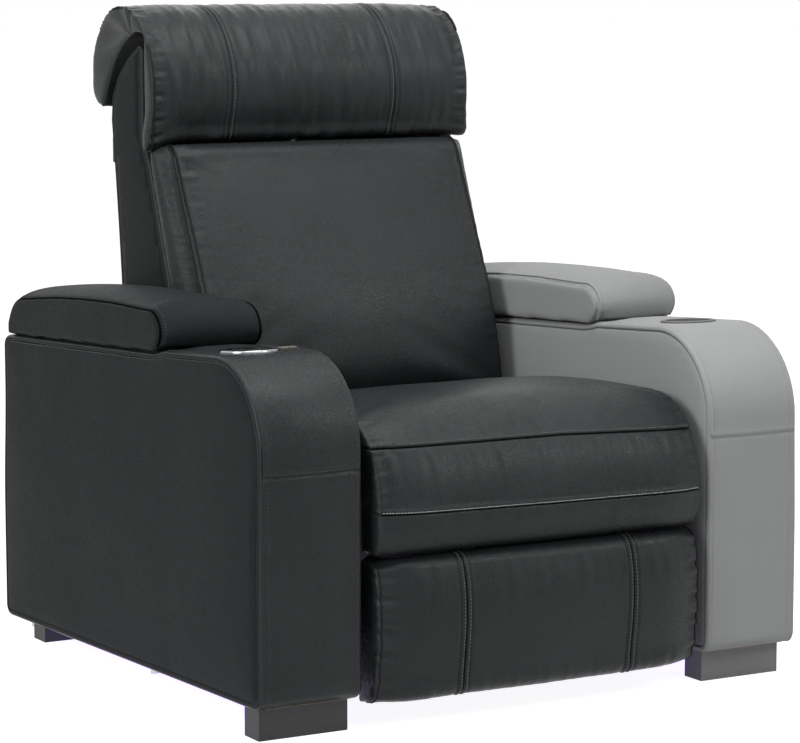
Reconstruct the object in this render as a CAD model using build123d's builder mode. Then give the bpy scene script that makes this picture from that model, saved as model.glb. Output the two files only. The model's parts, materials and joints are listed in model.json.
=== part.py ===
from build123d import *
import os
from math import atan2, cos, degrees, hypot, radians, sin, sqrt

# Cinema recliner seat: two upholstered arms with storage lids and cup holders, a seat
# between them, a leg rest on a link mechanism, a reclining back and a tilting headrest.
# X runs across the seat, Y to the back, Z up. The origin is on the floor, at the middle
# of the seat. In side views, "depth" is measured back from the front faces of the arms.

os.makedirs("parts", exist_ok=True)

# ---------------------------------------------------------------- whole seat
front_reach = 465.5          # front faces of the arms, ahead of the origin
seat_opening = 620.0         # clear width between the arms
arm_width = 170.0
arm_depth = 948.0

# ---------------------------------------------------------------- arms
arm_nose_radius = 140.0
arm_crest_height = 558.0
arm_crest_end_depth = 325.0
arm_crest_end_height = 546.0
lid_seat_depth = 350.0       # where the flat under the lid starts
lid_seat_height = 537.0
lid_seat_rear_height = 506.0
front_clearance = 51.0       # underside of the arm above the floor, in front
rear_clearance = 28.0
arm_edge_round = 8.0
arm_padding = 14.0           # foam and leather over the plywood
arm_board = 15.0             # plywood of the arm box
arm_seam_floor = 71.0        # the rounded edges of the arm's sides start above this

# ---------------------------------------------------------------- feet
foot_length = 148.0
foot_depth = 46.0
front_foot_depth = 51.0      # middle of the foot
rear_foot_inset = 113.0      # middle of the foot, from the arm's rear

# ---------------------------------------------------------------- storage bin
bin_front_depth = 395.0
bin_length = 500.0
bin_width = 112.0
bin_floor_height = 330.0
bin_wall = 3.0
bin_clearance = 0.5
bin_rim = 8.0
bin_rim_thickness = 2.0
bin_opening_height = 168.0   # of the opening for the bin, half of it above the lid's seat

# ---------------------------------------------------------------- lid
lid_air = 3.0                # between the arm and the lid board
lid_board_thickness = 15.0
lid_board_inset = 14.0
lid_front_depth = 328.0
lid_rear_inset = 11.0        # from the arm's rear
lid_height = 73.0
lid_skirt_air = 5.0
lid_side_crown = 9.0
lid_nose_reach = 34.0        # the pad's underside starts behind its foremost point
lid_nose_share = 0.44        # height of the foremost point, as a share of the pad's height
lid_nose_under = (9.0, -21.0)
lid_nose_over = (15.0, 26.0)
lid_shoulder_reach = 57.0
lid_crown_shift = 7.5
lid_crown_rise = 9.0
lid_tail_fall = 4.0
lid_tail_start = 72.0        # the top bends down from here, ahead of the pad's rear
lid_tail_bend = (20.0, 14.0)
lid_tail_drop = 42.0
lid_board_setback = 38.0     # the board's front, behind the pad's
lid_quarter_share = 0.72
lid_quarter_puff = 0.22
hinge_barrel_radius = 3.6
hinge_pin_radius = 1.6
hinge_pin_clearance = 0.08
hinge_leaf = 1.5
hinge_width = 40.0
hinge_middle_knuckle = 16.0
hinge_knuckle_gap = 0.6
hinge_spacing = 90.0
hinge_leaf_reach = 18.0      # under the lid board
hinge_axis_inset = 1.6       # from the fixed leaf's face
hinge_axis_rise = 6.0        # above the lid's seat
hinge_base_height = 36.0
hinge_base_drop = 24.0       # middle of the fixed leaf, below the axis
hinge_tongue_height = 14.0
hinge_tongue_drop = 6.0

# ---------------------------------------------------------------- cup holder
cup_offset = 90.0            # cup axis, from the inner side of the arm
cup_depth = 188.0
cup_bore_radius = 36.5
cup_wall = 1.5
cup_length = 84.0
cup_floor = 2.0
cup_fit = 0.5
cup_rim_radius = 42.0
cup_ring_radius = 45.0
cup_ring_height = 3.4
cup_ring_softness = 0.6      # edge rounding, as a share of the ring's height
cup_ring_overlap = 1.0       # the ring's bore beyond the liner's
cup_rim_thickness = 1.0

# ---------------------------------------------------------------- controls
panel_reach = 80.0           # tip of the panel, from the cup axis
panel_breadth = 46.0
panel_thickness = 2.6
panel_body = 11.0
panel_fit = 0.5
panel_corner = 11.0
panel_ring_gap = 0.2
panel_cutback = 10.0
panel_body_shift = 1.0
panel_body_margin = 9.0      # the body is shorter than the plate by this
panel_body_inset = 6.5       # the body's side, from the plate's
button_width = 11.5
button_breadth = 13.5
button_gap = 2.6
button_clearance = 0.35
button_height = 3.8
button_stem = 5.0            # below the arm's surface
button_travel = 1.2
button_end_margin = 3.2      # from the panel's tip
button_shift = -2.0          # off the panel's middle line
button_well_air = 0.8
button_round = 0.8
lamp_length = 18.0
lamp_breadth = 2.4
lamp_gap = 4.6               # lamp's middle, from the buttons' edge line
lamp_rise = 0.3

# ---------------------------------------------------------------- seat base
seat_board = 38.0            # side boards of the seat frame
seat_end_board = 18.0
seat_frame_front = 45.0
seat_frame_rear = 600.0
seat_frame_floor = 262.0
seat_frame_top = 330.0
end_board_floor = 276.0
webbing_thickness = 2.0
webbing_width = 60.0
webbing_rows_x = (-200.0, -100.0, 0.0, 100.0, 200.0)
webbing_row_depths = (130.0, 235.0, 340.0, 445.0, 540.0)
plate_thickness = 4.0
plate_rear_top = 306.0
plate_notch_air = 0.5
middle_rail_depth = 354.0
rear_rail_inset = 59.0       # middle of the rail, from the arms' rear
rail_board = 18.0
middle_rail_height = 80.0
middle_rail_air = 12.0       # above the arm's underside
rear_rail_top = 292.0
led_width = 12.0
led_thickness = 4.0
led_front_depth = 90.0
led_rear_inset = 158.0       # from the arm's rear
led_rail_margin = 30.0
front_bolt_depth = 405.0
rear_bolt_inset = 72.0       # from the arm's rear
bolt_inset = 22.0
bolt_washer_radius = 14.0
bolt_head_radius = 7.0
bolt_head_length = 14.0
bolt_washer_thickness = 2.0

# ---------------------------------------------------------------- power
power_x = -110.0
power_height = 120.0
power_box_length = 170.0
power_box_depth = 40.0
power_box_height = 64.0
power_box_round = 6.0
inlet_flange_radius = 13.0
inlet_flange = 3.0
inlet_barrel_radius = 8.0
inlet_socket_radius = 5.0
inlet_socket_depth = 12.0
inlet_pin_radius = 1.0

# ---------------------------------------------------------------- seat cushion
cushion_gap = 20.0           # between a cushion's side and the arm
seat_front_crown = 22.0
seat_top_crown = 20.0
seat_lip_height = 260.0
seat_quarter_puff = 0.9      # fullness of the seat's sections, from its middle to its side
seat_edge_puff = 0.55
seat_edge_inset = 30.0

# ---------------------------------------------------------------- leg rest links
# Pivots at rest, as (depth, height). The rear and front links hang from the seat, the
# carrier joins their lower ends to the leg rest, and the guide link turns the leg rest.
rear_hanger = (217.1, 278.1)
front_hanger = (187.6, 312.0)
rear_foot_pivot = (306.2, 94.9)
front_foot_pivot = (275.3, 128.6)
leg_rest_hinge = (67.1, 245.0)
leg_rest_guide = (100.0, 201.5)
guide_tail = (308.1, 88.0)
link_thickness = 4.0
link_half_width = 9.0
link_layer_gap = 2.0
pivot_radius = 4.0
pivot_head_radius = 7.0
pivot_head = 1.2
back_pin_air = 0.5           # between the back's hinge pin and the back's cover
back_pin_head = 2.0
pivot_air = 0.3              # along the pin, between a head and the next plate
pivot_clearance = 0.08
open_pivot_clearance = 0.8
drive_tube_offset = (24.2, 0.6)
drive_tube_radius = 9.0
drive_tube_wall = 2.0
crank_length = 40.0
crank_pin_radius = 4.5
crank_ear = 4.0
crank_tip_radius = 10.0
crank_root_wall = 3.0
tube_arm_wall = 4.0          # of the rear link round the drive tube
crank_gap = 12.0             # between the crank's two ears, where the motor's rod swings

# ---------------------------------------------------------------- leg rest
leg_board_front = 40.0
leg_board_rear = 54.0
leg_board_floor = 58.0
leg_board_top = 243.0
leg_board_margin = 28.0      # from the pad's side to its board
leg_front_crown = 32.0
leg_pad_top = 254.0
leg_pad_floor = 42.0
leg_quarter_puff = 0.92
leg_edge_puff = 0.5
leg_edge_inset = 26.0
bracket_foot_thickness = 10.0
bracket_foot_height = 175.0  # middle of the bracket's foot on the board
bracket_foot_length = 124.0
bracket_flange_height = 155.0
bracket_flange_width = 28.0
bracket_flange_thickness = 3.0
bracket_flange_length = 84.0

# ---------------------------------------------------------------- motors
leg_motor_x = -60.0
leg_motor_pivot = (430.0, 225.0)
leg_motor_tip = (213.3, 233.1)
back_motor_x = 60.0
back_motor_pivot = (482.0, 245.0)
back_motor_tip = (701.0, 260.0)
motor_case_length = 140.0
motor_housing_start = 20.0
motor_housing_length = 48.0
motor_bore_end = 66.0
motor_can_radius = 17.0
motor_can_hang = 64.0
leg_rod_inner_end = 90.0
back_rod_inner_end = 130.0
motor_case_breadth = 30.0
motor_rod_radius = 5.0
rod_fit = 0.3
rod_eye_wall = 4.5
rod_eye_thickness = 8.0
leg_eye_bore = 11.5
back_eye_bore = 7.5
motor_pin_radius = 4.0
mount_tube_depth = 456.0
mount_tube_height = 233.0
mount_tube_size = 25.0
mount_tube_wall = 2.0
motor_ear = 4.0
motor_ear_air = 1.0          # between an ear and the eye beside it
motor_ear_radius = 9.0
motor_pin_overhang = 6.0     # beyond the eye, each side
motor_tongue_middle = 12.0   # of the case's eye, along the motor
motor_tongue_length = 16.0
motor_tongue_height = 14.0
motor_case_start = 16.0
motor_case_round = 4.0
motor_long_edge = 120.0      # edges longer than this run along the case
motor_housing_proud = 3.0    # of the housing beyond the case, along X
motor_housing_tall = 8.0     # of the housing over the case, in height
rod_shank_overlap = 2.0      # of the rod into its eye

# ---------------------------------------------------------------- back
back_hinge = (640.0, 345.0)
back_lever = (700.0, 262.0)
back_gap = 10.0              # between the back and the arm
back_shell = 12.0
back_upright = 14.0
back_cushion_inset = 2.0
back_rail = 18.0
back_rail_height = 60.0
back_rails = ((702.0, 410.0), (762.0, 700.0), (792.0, 940.0))
upright_opening = (
    (668.0, 440.0), (820.0, 440.0), (850.0, 600.0), (862.0, 820.0), (790.0, 820.0), (716.0, 610.0),
)
lever_tip_radius = 11.0
lever_root = (702.0, 400.0)
lever_root_height = 20.0
back_cover_round = 6.0
back_quarter_puff = 0.95
back_edge_puff = 0.72
back_edge_inset = 28.0

# ---------------------------------------------------------------- headrest
headrest_pivot = (752.0, 856.0)
headrest_gap = 6.0           # between the headrest and the arm's plane
headrest_roll = 20.0         # radius of the pillow's lower edge round the pivot
headrest_sweep = 165.0       # clear radius over the top of the back
headrest_lever = (802.0, 841.0)
headrest_ear_x = 176.0
headrest_tube_radius = 6.0
headrest_pin_radius = 3.0
headrest_bar = (792.0, 902.0)
headrest_bar_size = 16.0
headrest_ear = 4.0
headrest_ear_radius = 9.0
headrest_pin_length = 24.0
headrest_tube_air = 3.0
headrest_crank_radius = 8.0
headrest_crank_inner = 5.5   # inner faces of the crank's two ears
headrest_crank_pin_radius = 3.0
headrest_crank_pin_half = 10.5
headrest_plate_margin = 12.0
headrest_plate = ((747.0, 860.0), (741.0, 985.0), (744.0, 985.0), (750.5, 861.0))

half_opening = seat_opening / 2
seat_half = half_opening - cushion_gap
leg_board_half_width = seat_half - leg_board_margin
back_half_width = half_opening - back_gap
back_cushion_half_width = back_half_width - back_cushion_inset
headrest_half_width = half_opening - headrest_gap
plate_outer_x = half_opening - seat_board
arm_outer = half_opening + arm_width
arm_middle = half_opening + arm_width / 2
rear_foot_depth = arm_depth - rear_foot_inset
lid_rear_depth = arm_depth - lid_rear_inset
rear_rail_depth = arm_depth - rear_rail_inset
bolt_depths = (front_bolt_depth, arm_depth - rear_bolt_inset)


def side(x):
    """Side view at x: first coordinate is depth, second is height."""
    return Plane(origin=(x, -front_reach, 0), x_dir=(0, 1, 0), z_dir=(1, 0, 0))


def level(height):
    """View from above at a height: first coordinate is x, second is depth."""
    return Plane(origin=(0, -front_reach, height), x_dir=(1, 0, 0), z_dir=(0, 0, 1))


def facing(depth):
    """Front view at a depth: first coordinate is x, second is height."""
    return Plane(origin=(0, depth - front_reach, 0), x_dir=(1, 0, 0), z_dir=(0, -1, 0))


def at(x, depth, height):
    """A place given by x, depth and height."""
    return Location((x, depth - front_reach, height))


def underside(depth):
    """Height of the arm's underside."""
    return front_clearance + (rear_clearance - front_clearance) * depth / arm_depth


def lid_seat(depth):
    """Height of the flat that the lid lies on."""
    fall = (lid_seat_rear_height - lid_seat_height) / (arm_depth - lid_seat_depth)
    return lid_seat_height + fall * (depth - lid_seat_depth)


def crest(depth):
    """Height of the arm's top ahead of the lid."""
    fall = (arm_crest_end_height - arm_crest_height) / (arm_crest_end_depth - arm_nose_radius)
    return arm_crest_height + fall * (depth - arm_nose_radius)


def arm_outline(x, inset, floor_inset):
    """Side outline of an arm at x, drawn in by inset."""
    nose_height = arm_crest_height - arm_nose_radius
    nose = arm_nose_radius - inset
    rear = arm_depth - inset
    lift = nose * sin(radians(45))
    with BuildSketch(side(x)) as outline:
        with BuildLine():
            Polyline(
                (inset, nose_height),
                (inset, underside(inset) + floor_inset),
                (rear, underside(rear) + floor_inset),
                (rear, lid_seat(rear) - inset),
                (lid_seat_depth, lid_seat_height - inset),
                (arm_crest_end_depth, arm_crest_end_height - inset),
                (arm_nose_radius, arm_crest_height - inset),
            )
            ThreePointArc(
                (arm_nose_radius, arm_crest_height - inset),
                (arm_nose_radius - lift, nose_height + lift),
                (inset, nose_height),
            )
        make_face()
    return outline.sketch


crest_fall = atan2(crest(0) - crest(100), 100)
cup_x = half_opening + cup_offset
cup_plane = Plane(
    origin=(-cup_x, cup_depth - front_reach, crest(cup_depth)),
    x_dir=(1, 0, 0),
    z_dir=(0, sin(crest_fall), cos(crest_fall)),
)
bin_middle_depth = bin_front_depth + bin_length / 2
panel_body_x = (cup_ring_radius + panel_reach) / 2 + panel_body_shift
panel_body_length = panel_reach - cup_ring_radius - panel_body_margin
panel_body_breadth = panel_breadth - 2 * panel_body_inset
padded_left = -arm_outer + arm_padding
padded_width = arm_width - 2 * arm_padding

# ================================================================ left arm
with BuildPart() as left_arm_cover:
    extrude(arm_outline(-arm_outer, 0, 0), amount=arm_width, dir=(1, 0, 0))
    sides = left_arm_cover.faces().filter_by(Axis.X)
    seams = sides.edges().filter_by(lambda e: e.center().Z > arm_seam_floor)
    fillet(seams, radius=arm_edge_round)
    extrude(
        arm_outline(padded_left, arm_padding, -arm_padding),
        amount=padded_width,
        dir=(1, 0, 0),
        mode=Mode.SUBTRACT,
    )
    with Locations(at(-arm_middle, bin_middle_depth, lid_seat_height)):
        Box(bin_width, bin_length, bin_opening_height, mode=Mode.SUBTRACT)
    with BuildSketch(cup_plane):
        Circle(cup_bore_radius + cup_wall + cup_fit)
    extrude(amount=3 * arm_padding, both=True, mode=Mode.SUBTRACT)
    with BuildSketch(cup_plane):
        with Locations((panel_body_x, 0)):
            Rectangle(panel_body_length + 2 * panel_fit, panel_body_breadth + 2 * panel_fit)
    extrude(amount=-panel_body, mode=Mode.SUBTRACT)
left_arm_cover.part.label = "left_arm_cover"

with BuildPart() as left_arm_frame:
    extrude(arm_outline(padded_left, arm_padding, 0), amount=padded_width, dir=(1, 0, 0))
    extrude(
        arm_outline(padded_left + arm_board, arm_padding + arm_board, arm_board),
        amount=padded_width - 2 * arm_board,
        dir=(1, 0, 0),
        mode=Mode.SUBTRACT,
    )
    with Locations(at(-arm_middle, bin_middle_depth, lid_seat_height)):
        Box(bin_width, bin_length, bin_opening_height, mode=Mode.SUBTRACT)
    with BuildSketch(cup_plane):
        Circle(cup_bore_radius + cup_wall + cup_fit)
    extrude(amount=-cup_length, mode=Mode.SUBTRACT)
left_arm_frame.part.label = "left_arm_frame"

with BuildPart() as left_storage_bin:
    bin_left = -arm_middle - bin_width / 2 + bin_clearance
    bin_front = bin_front_depth + bin_clearance
    bin_rear = bin_front_depth + bin_length - bin_clearance
    with BuildSketch(side(bin_left)):
        with BuildLine():
            Polyline(
                (bin_front, bin_floor_height),
                (bin_rear, bin_floor_height),
                (bin_rear, lid_seat(bin_rear)),
                (bin_front, lid_seat(bin_front)),
                close=True,
            )
        make_face()
    extrude(amount=bin_width - 2 * bin_clearance)
    with BuildSketch(side(bin_left - bin_rim)):
        with BuildLine():
            Polyline(
                (bin_front - bin_rim, lid_seat(bin_front - bin_rim)),
                (bin_rear + bin_rim, lid_seat(bin_rear + bin_rim)),
                (bin_rear + bin_rim, lid_seat(bin_rear + bin_rim) + bin_rim_thickness),
                (bin_front - bin_rim, lid_seat(bin_front - bin_rim) + bin_rim_thickness),
                close=True,
            )
        make_face()
    extrude(amount=bin_width - 2 * bin_clearance + 2 * bin_rim)
    with BuildSketch(side(bin_left + bin_wall)):
        with BuildLine():
            Polyline(
                (bin_front + bin_wall, bin_floor_height + bin_wall),
                (bin_rear - bin_wall, bin_floor_height + bin_wall),
                (bin_rear - bin_wall, lid_seat_height + arm_padding),
                (bin_front + bin_wall, lid_seat_height + arm_padding),
                close=True,
            )
        make_face()
    extrude(amount=bin_width - 2 * bin_clearance - 2 * bin_wall, mode=Mode.SUBTRACT)
left_storage_bin.part.label = "left_storage_bin"

with BuildPart() as left_cup_liner:
    with BuildSketch(cup_plane):
        Circle(cup_bore_radius + cup_wall)
    extrude(amount=-cup_length + cup_fit)
    with BuildSketch(cup_plane):
        Circle(cup_rim_radius)
    extrude(amount=cup_rim_thickness)
    with BuildSketch(cup_plane.offset(cup_rim_thickness)):
        Circle(cup_bore_radius)
    extrude(amount=-cup_length + cup_fit + cup_floor - cup_rim_thickness, mode=Mode.SUBTRACT)
left_cup_liner.part.label = "left_cup_liner"

with BuildPart() as left_cup_ring:
    with BuildSketch(cup_plane):
        Circle(cup_ring_radius)
    extrude(amount=cup_ring_height)
    top_edge = left_cup_ring.edges().sort_by(Axis.Z)[-1]
    fillet(top_edge, radius=cup_ring_height * cup_ring_softness)
    with BuildSketch(cup_plane):
        Circle(cup_bore_radius + cup_ring_overlap)
    extrude(amount=cup_ring_height, mode=Mode.SUBTRACT)
    with BuildSketch(cup_plane):
        Circle(cup_rim_radius)
    extrude(amount=cup_rim_thickness, mode=Mode.SUBTRACT)
left_cup_ring.part.label = "left_cup_ring"

# Control panel between the cup ring and the seat, with two push buttons and a lamp.
button_pitch = button_width + button_gap
button_well = button_stem + button_travel + button_well_air
button_rear_x = panel_reach - button_end_margin - button_width / 2
button_front_x = button_rear_x - button_pitch
lamp_y = button_breadth / 2 + lamp_gap

with BuildPart() as left_control_panel:
    with BuildSketch(cup_plane) as plate:
        with Locations((panel_reach / 2, 0)):
            RectangleRounded(panel_reach, panel_breadth, panel_corner)
        Circle(cup_ring_radius + panel_ring_gap, mode=Mode.SUBTRACT)
        Rectangle(2 * cup_ring_radius - panel_cutback, 2 * cup_ring_radius, mode=Mode.SUBTRACT)
    extrude(amount=panel_thickness)
    with BuildSketch(cup_plane):
        with Locations((panel_body_x, 0)):
            Rectangle(panel_body_length, panel_body_breadth)
    extrude(amount=-panel_body + panel_fit)
    with BuildSketch(cup_plane.offset(panel_thickness)):
        with Locations((button_front_x, button_shift), (button_rear_x, button_shift)):
            Rectangle(button_width + 2 * button_clearance, button_breadth + 2 * button_clearance)
    extrude(amount=-panel_thickness - button_well, mode=Mode.SUBTRACT)
    with BuildSketch(cup_plane.offset(panel_thickness)):
        with Locations(((button_front_x + button_rear_x) / 2, lamp_y)):
            Rectangle(lamp_length, lamp_breadth)
    extrude(amount=-panel_thickness, mode=Mode.SUBTRACT)
left_control_panel.part.label = "left_control_panel"


def push_button(x):
    """One square push button with softened edges, x from the cup axis."""
    with BuildPart() as button:
        with BuildSketch(cup_plane.offset(button_height)):
            with Locations((x, button_shift)):
                Rectangle(button_width, button_breadth)
        extrude(amount=-button_height - button_stem)
        top = button.faces().sort_by(Axis.Z)[-1]
        fillet(top.edges(), radius=button_round)
    return button


recline_button = push_button(button_front_x)
recline_button.part.label = "recline_button"
return_button = push_button(button_rear_x)
return_button.part.label = "return_button"

with BuildPart() as control_lamp:
    with BuildSketch(cup_plane):
        with Locations(((button_front_x + button_rear_x) / 2, lamp_y)):
            Rectangle(lamp_length, lamp_breadth)
    extrude(amount=panel_thickness + lamp_rise)
control_lamp.part.label = "control_lamp"

# ================================================================ lid


def pad_outline(x, inset):
    """Side outline of the lid pad at x, drawn in by inset over its top and ends."""
    front = lid_front_depth + inset
    rear = lid_rear_depth - inset
    skirt_front = lid_front_depth + lid_nose_reach
    nose_height = lid_seat(skirt_front) + lid_skirt_air + lid_height * lid_nose_share
    shoulder = lid_front_depth + lid_shoulder_reach
    top = lid_seat_height + lid_height - inset
    rear_top = lid_seat(lid_rear_depth) + lid_skirt_air + lid_height - lid_tail_fall - inset
    top_middle = (lid_front_depth + lid_rear_depth) / 2 + lid_crown_shift
    top_crown = (top + rear_top) / 2 + lid_crown_rise
    tail = rear - lid_tail_start
    tail_floor = rear_top - lid_tail_drop
    under_depth, under_height = lid_nose_under
    over_depth, over_height = lid_nose_over
    bend_depth, bend_height = lid_tail_bend
    with BuildSketch(side(x)) as outline:
        with BuildLine():
            Line(
                (rear, lid_seat(rear) + lid_skirt_air),
                (skirt_front, lid_seat(skirt_front) + lid_skirt_air),
            )
            ThreePointArc(
                (skirt_front, lid_seat(skirt_front) + lid_skirt_air),
                (front + under_depth, nose_height + under_height),
                (front, nose_height),
            )
            ThreePointArc(
                (front, nose_height),
                (front + over_depth, nose_height + over_height - inset / 2),
                (shoulder, top),
            )
            ThreePointArc(
                (shoulder, top), (top_middle, top_crown), (tail, rear_top + lid_tail_fall)
            )
            ThreePointArc(
                (tail, rear_top + lid_tail_fall),
                (rear - bend_depth, rear_top - bend_height),
                (rear, tail_floor),
            )
            Line((rear, tail_floor), (rear, lid_seat(rear) + lid_skirt_air))
        make_face()
    return outline.sketch


lid_board_front = lid_front_depth + lid_board_setback
lid_board_rear = lid_rear_depth - lid_board_inset

with BuildPart() as left_lid_board:
    with BuildSketch(side(-arm_outer + lid_board_inset)):
        with BuildLine():
            Polyline(
                (lid_board_front, lid_seat(lid_board_front) + lid_air),
                (lid_board_rear, lid_seat(lid_board_rear) + lid_air),
                (lid_board_rear, lid_seat(lid_board_rear) + lid_air + lid_board_thickness),
                (lid_board_front, lid_seat(lid_board_front) + lid_air + lid_board_thickness),
                close=True,
            )
        make_face()
    extrude(amount=arm_width - 2 * lid_board_inset)
left_lid_board.part.label = "left_lid_board"

pad_half = arm_width / 2
pad_sections = Sketch() + [
    pad_outline(-arm_middle + across * pad_half, lid_side_crown * inset)
    for across, inset in (
        (-1, 1), (-lid_quarter_share, lid_quarter_puff), (0, 0),
        (lid_quarter_share, lid_quarter_puff), (1, 1),
    )
]
with BuildPart() as left_lid_pad:
    loft(pad_sections.faces().sort_by(Axis.X))
    add(left_lid_board.part, mode=Mode.SUBTRACT)
left_lid_pad.part.label = "left_lid_pad"

# Butt hinges behind the lid: the fixed leaf carries the pin and the middle knuckle.
hinge_depth = arm_depth + hinge_leaf + hinge_axis_inset
hinge_height = lid_seat(arm_depth) + hinge_axis_rise
hinge_rows = [(-arm_middle - hinge_spacing / 2), (-arm_middle + hinge_spacing / 2)]

with BuildPart() as left_lid_hinge_base:
    for row in hinge_rows:
        with BuildSketch(side(row - hinge_middle_knuckle / 2)):
            with Locations((hinge_depth, hinge_height)):
                Circle(hinge_barrel_radius)
        extrude(amount=hinge_middle_knuckle)
        with BuildSketch(side(row - hinge_width / 2)):
            with Locations((hinge_depth, hinge_height)):
                Circle(hinge_pin_radius)
        extrude(amount=hinge_width)
        with BuildSketch(side(row - hinge_width / 2)):
            with Locations((arm_depth + hinge_leaf / 2, hinge_height - hinge_base_drop)):
                Rectangle(hinge_leaf, hinge_base_height)
        extrude(amount=hinge_width)
        with BuildSketch(side(row - hinge_middle_knuckle / 2)):
            with Locations((arm_depth + hinge_leaf / 2, hinge_height - hinge_tongue_drop)):
                Rectangle(hinge_leaf, hinge_tongue_height)
        extrude(amount=hinge_middle_knuckle)
left_lid_hinge_base.part.label = "left_lid_hinge_base"

with BuildPart() as left_lid_hinge_leaf:
    leaf_front = lid_board_rear - hinge_leaf_reach
    leaf_front_top = lid_seat(leaf_front) + lid_air
    leaf_rear_top = lid_seat(lid_board_rear) + lid_air
    for row in hinge_rows:
        with BuildSketch(side(row - hinge_width / 2)):
            with Locations((hinge_depth, hinge_height)):
                Circle(hinge_barrel_radius)
            with BuildLine():
                Polyline(
                    (leaf_front, leaf_front_top),
                    (lid_board_rear, leaf_rear_top),
                    (hinge_depth, hinge_height + hinge_leaf / 2),
                    (hinge_depth, hinge_height - hinge_leaf / 2),
                    (lid_board_rear, leaf_rear_top - hinge_leaf),
                    (leaf_front, leaf_front_top - hinge_leaf),
                    close=True,
                )
            make_face()
            with Locations((hinge_depth, hinge_height)):
                Circle(hinge_pin_radius + hinge_pin_clearance, mode=Mode.SUBTRACT)
        extrude(amount=hinge_width)
        with Locations(at(row, hinge_depth, hinge_height)):
            Box(
                hinge_middle_knuckle + 2 * hinge_knuckle_gap,
                3 * hinge_barrel_radius,
                3 * hinge_barrel_radius,
                mode=Mode.SUBTRACT,
            )
left_lid_hinge_leaf.part.label = "left_lid_hinge_leaf"

# ================================================================ feet
with BuildPart() as left_front_foot:
    with BuildSketch(side(-arm_middle - foot_length / 2)):
        near = front_foot_depth - foot_depth / 2
        far = front_foot_depth + foot_depth / 2
        with BuildLine():
            Polyline((near, 0), (far, 0), (far, underside(far)), (near, underside(near)), close=True)
        make_face()
    extrude(amount=foot_length)
left_front_foot.part.label = "left_front_foot"

with BuildPart() as left_rear_foot:
    with BuildSketch(side(-arm_middle - foot_length / 2)):
        near = rear_foot_depth - foot_depth / 2
        far = rear_foot_depth + foot_depth / 2
        with BuildLine():
            Polyline((near, 0), (far, 0), (far, underside(far)), (near, underside(near)), close=True)
        make_face()
    extrude(amount=foot_length)
left_rear_foot.part.label = "left_rear_foot"

# ================================================================ seat base
with BuildPart() as seat_frame:
    board_height = seat_frame_top - seat_frame_floor
    frame_length = seat_frame_rear - seat_frame_front
    frame_middle = (seat_frame_front + seat_frame_rear) / 2
    for x in (-half_opening + seat_board / 2, half_opening - seat_board / 2):
        with Locations(at(x, frame_middle, seat_frame_floor + board_height / 2)):
            Box(seat_board, frame_length, board_height)
    end_height = seat_frame_top - end_board_floor
    end_depths = (seat_frame_front + seat_end_board / 2, seat_frame_rear - seat_end_board / 2)
    for depth in end_depths:
        with Locations(at(0, depth, end_board_floor + end_height / 2)):
            Box(2 * plate_outer_x, seat_end_board, end_height)
    notch = plate_thickness + plate_notch_air
    notch_top = plate_rear_top + plate_notch_air
    for x in (-plate_outer_x + notch / 2, plate_outer_x - notch / 2):
        with Locations(at(x, end_depths[1], (seat_frame_floor + notch_top) / 2)):
            Box(notch, seat_end_board, notch_top - seat_frame_floor, mode=Mode.SUBTRACT)
seat_frame.part.label = "seat_frame"

with BuildPart() as seat_webbing:
    webbing_level = seat_frame_top + webbing_thickness / 2
    for x in webbing_rows_x:
        with Locations(at(x, frame_middle, webbing_level)):
            Box(webbing_width, frame_length, webbing_thickness)
    for depth in webbing_row_depths:
        with Locations(at(0, depth, webbing_level)):
            Box(seat_opening - seat_board, webbing_width, webbing_thickness)
seat_webbing.part.label = "seat_webbing"


def seat_outline(x, puff):
    """Side outline of the seat cushion at x: puff is 0 at its drawn-in sides, 1 in the middle."""
    out = seat_front_crown * puff
    up = seat_top_crown * puff
    base = seat_frame_top + webbing_thickness
    lip_rear = seat_frame_front - 1
    with BuildSketch(side(x)) as outline:
        with BuildLine():
            Polyline(
                (10, seat_lip_height),
                (lip_rear, seat_lip_height + 6),
                (lip_rear, base),
                (seat_frame_rear - 2, base),
                (seat_frame_rear - 2, 398),
                (545, 407),
            )
            ThreePointArc((545, 407), (330, 446 + up), (118, 458 + up))
            ThreePointArc(
                (118, 458 + up), (55 - out / 2, 446 + up * 0.8), (20 - out * 0.8, 416 + up / 4)
            )
            ThreePointArc((20 - out * 0.8, 416 + up / 4), (-2 - out, 368), (-9 - out, 320))
            ThreePointArc((-9 - out, 320), (-6 - out * 0.8, 280), (10, seat_lip_height))
        make_face()
    return outline.sketch


seat_sections = Sketch() + [
    seat_outline(x, puff)
    for x, puff in (
        (-seat_half, 0), (-seat_half + seat_edge_inset, seat_edge_puff),
        (-seat_half / 2, seat_quarter_puff), (0, 1), (seat_half / 2, seat_quarter_puff),
        (seat_half - seat_edge_inset, seat_edge_puff), (seat_half, 0),
    )
]
with BuildPart() as seat_cushion:
    loft(seat_sections.faces().sort_by(Axis.X))
seat_cushion.part.label = "seat_cushion"

# Mechanism plates: left and right, screwed to the seat frame's side boards.
mount_half = mount_tube_size / 2
with BuildPart() as mechanism_plates:
    with BuildSketch(side(-plate_outer_x)):
        with BuildLine():
            Polyline(
                (150, 300), (150, 326), (250, 326), (280, plate_rear_top), (606, plate_rear_top),
                (622, 362), (658, 362), (662, 322),
                (610, 262), (mount_tube_depth + 30, 262),
                (mount_tube_depth + mount_half + 6, mount_tube_height - mount_half - 6),
                (mount_tube_depth - mount_half - 6, mount_tube_height - mount_half - 6),
                (mount_tube_depth - 30, 262), (190, 262),
                close=True,
            )
        make_face()
        with Locations(rear_hanger, front_hanger, back_hinge):
            Circle(pivot_radius, mode=Mode.SUBTRACT)
        with Locations((320, 284), (400, 284), (500, 284)):
            SlotOverall(64, 14, mode=Mode.SUBTRACT)
    extrude(amount=plate_thickness)
    mirror(about=Plane.YZ)
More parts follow.
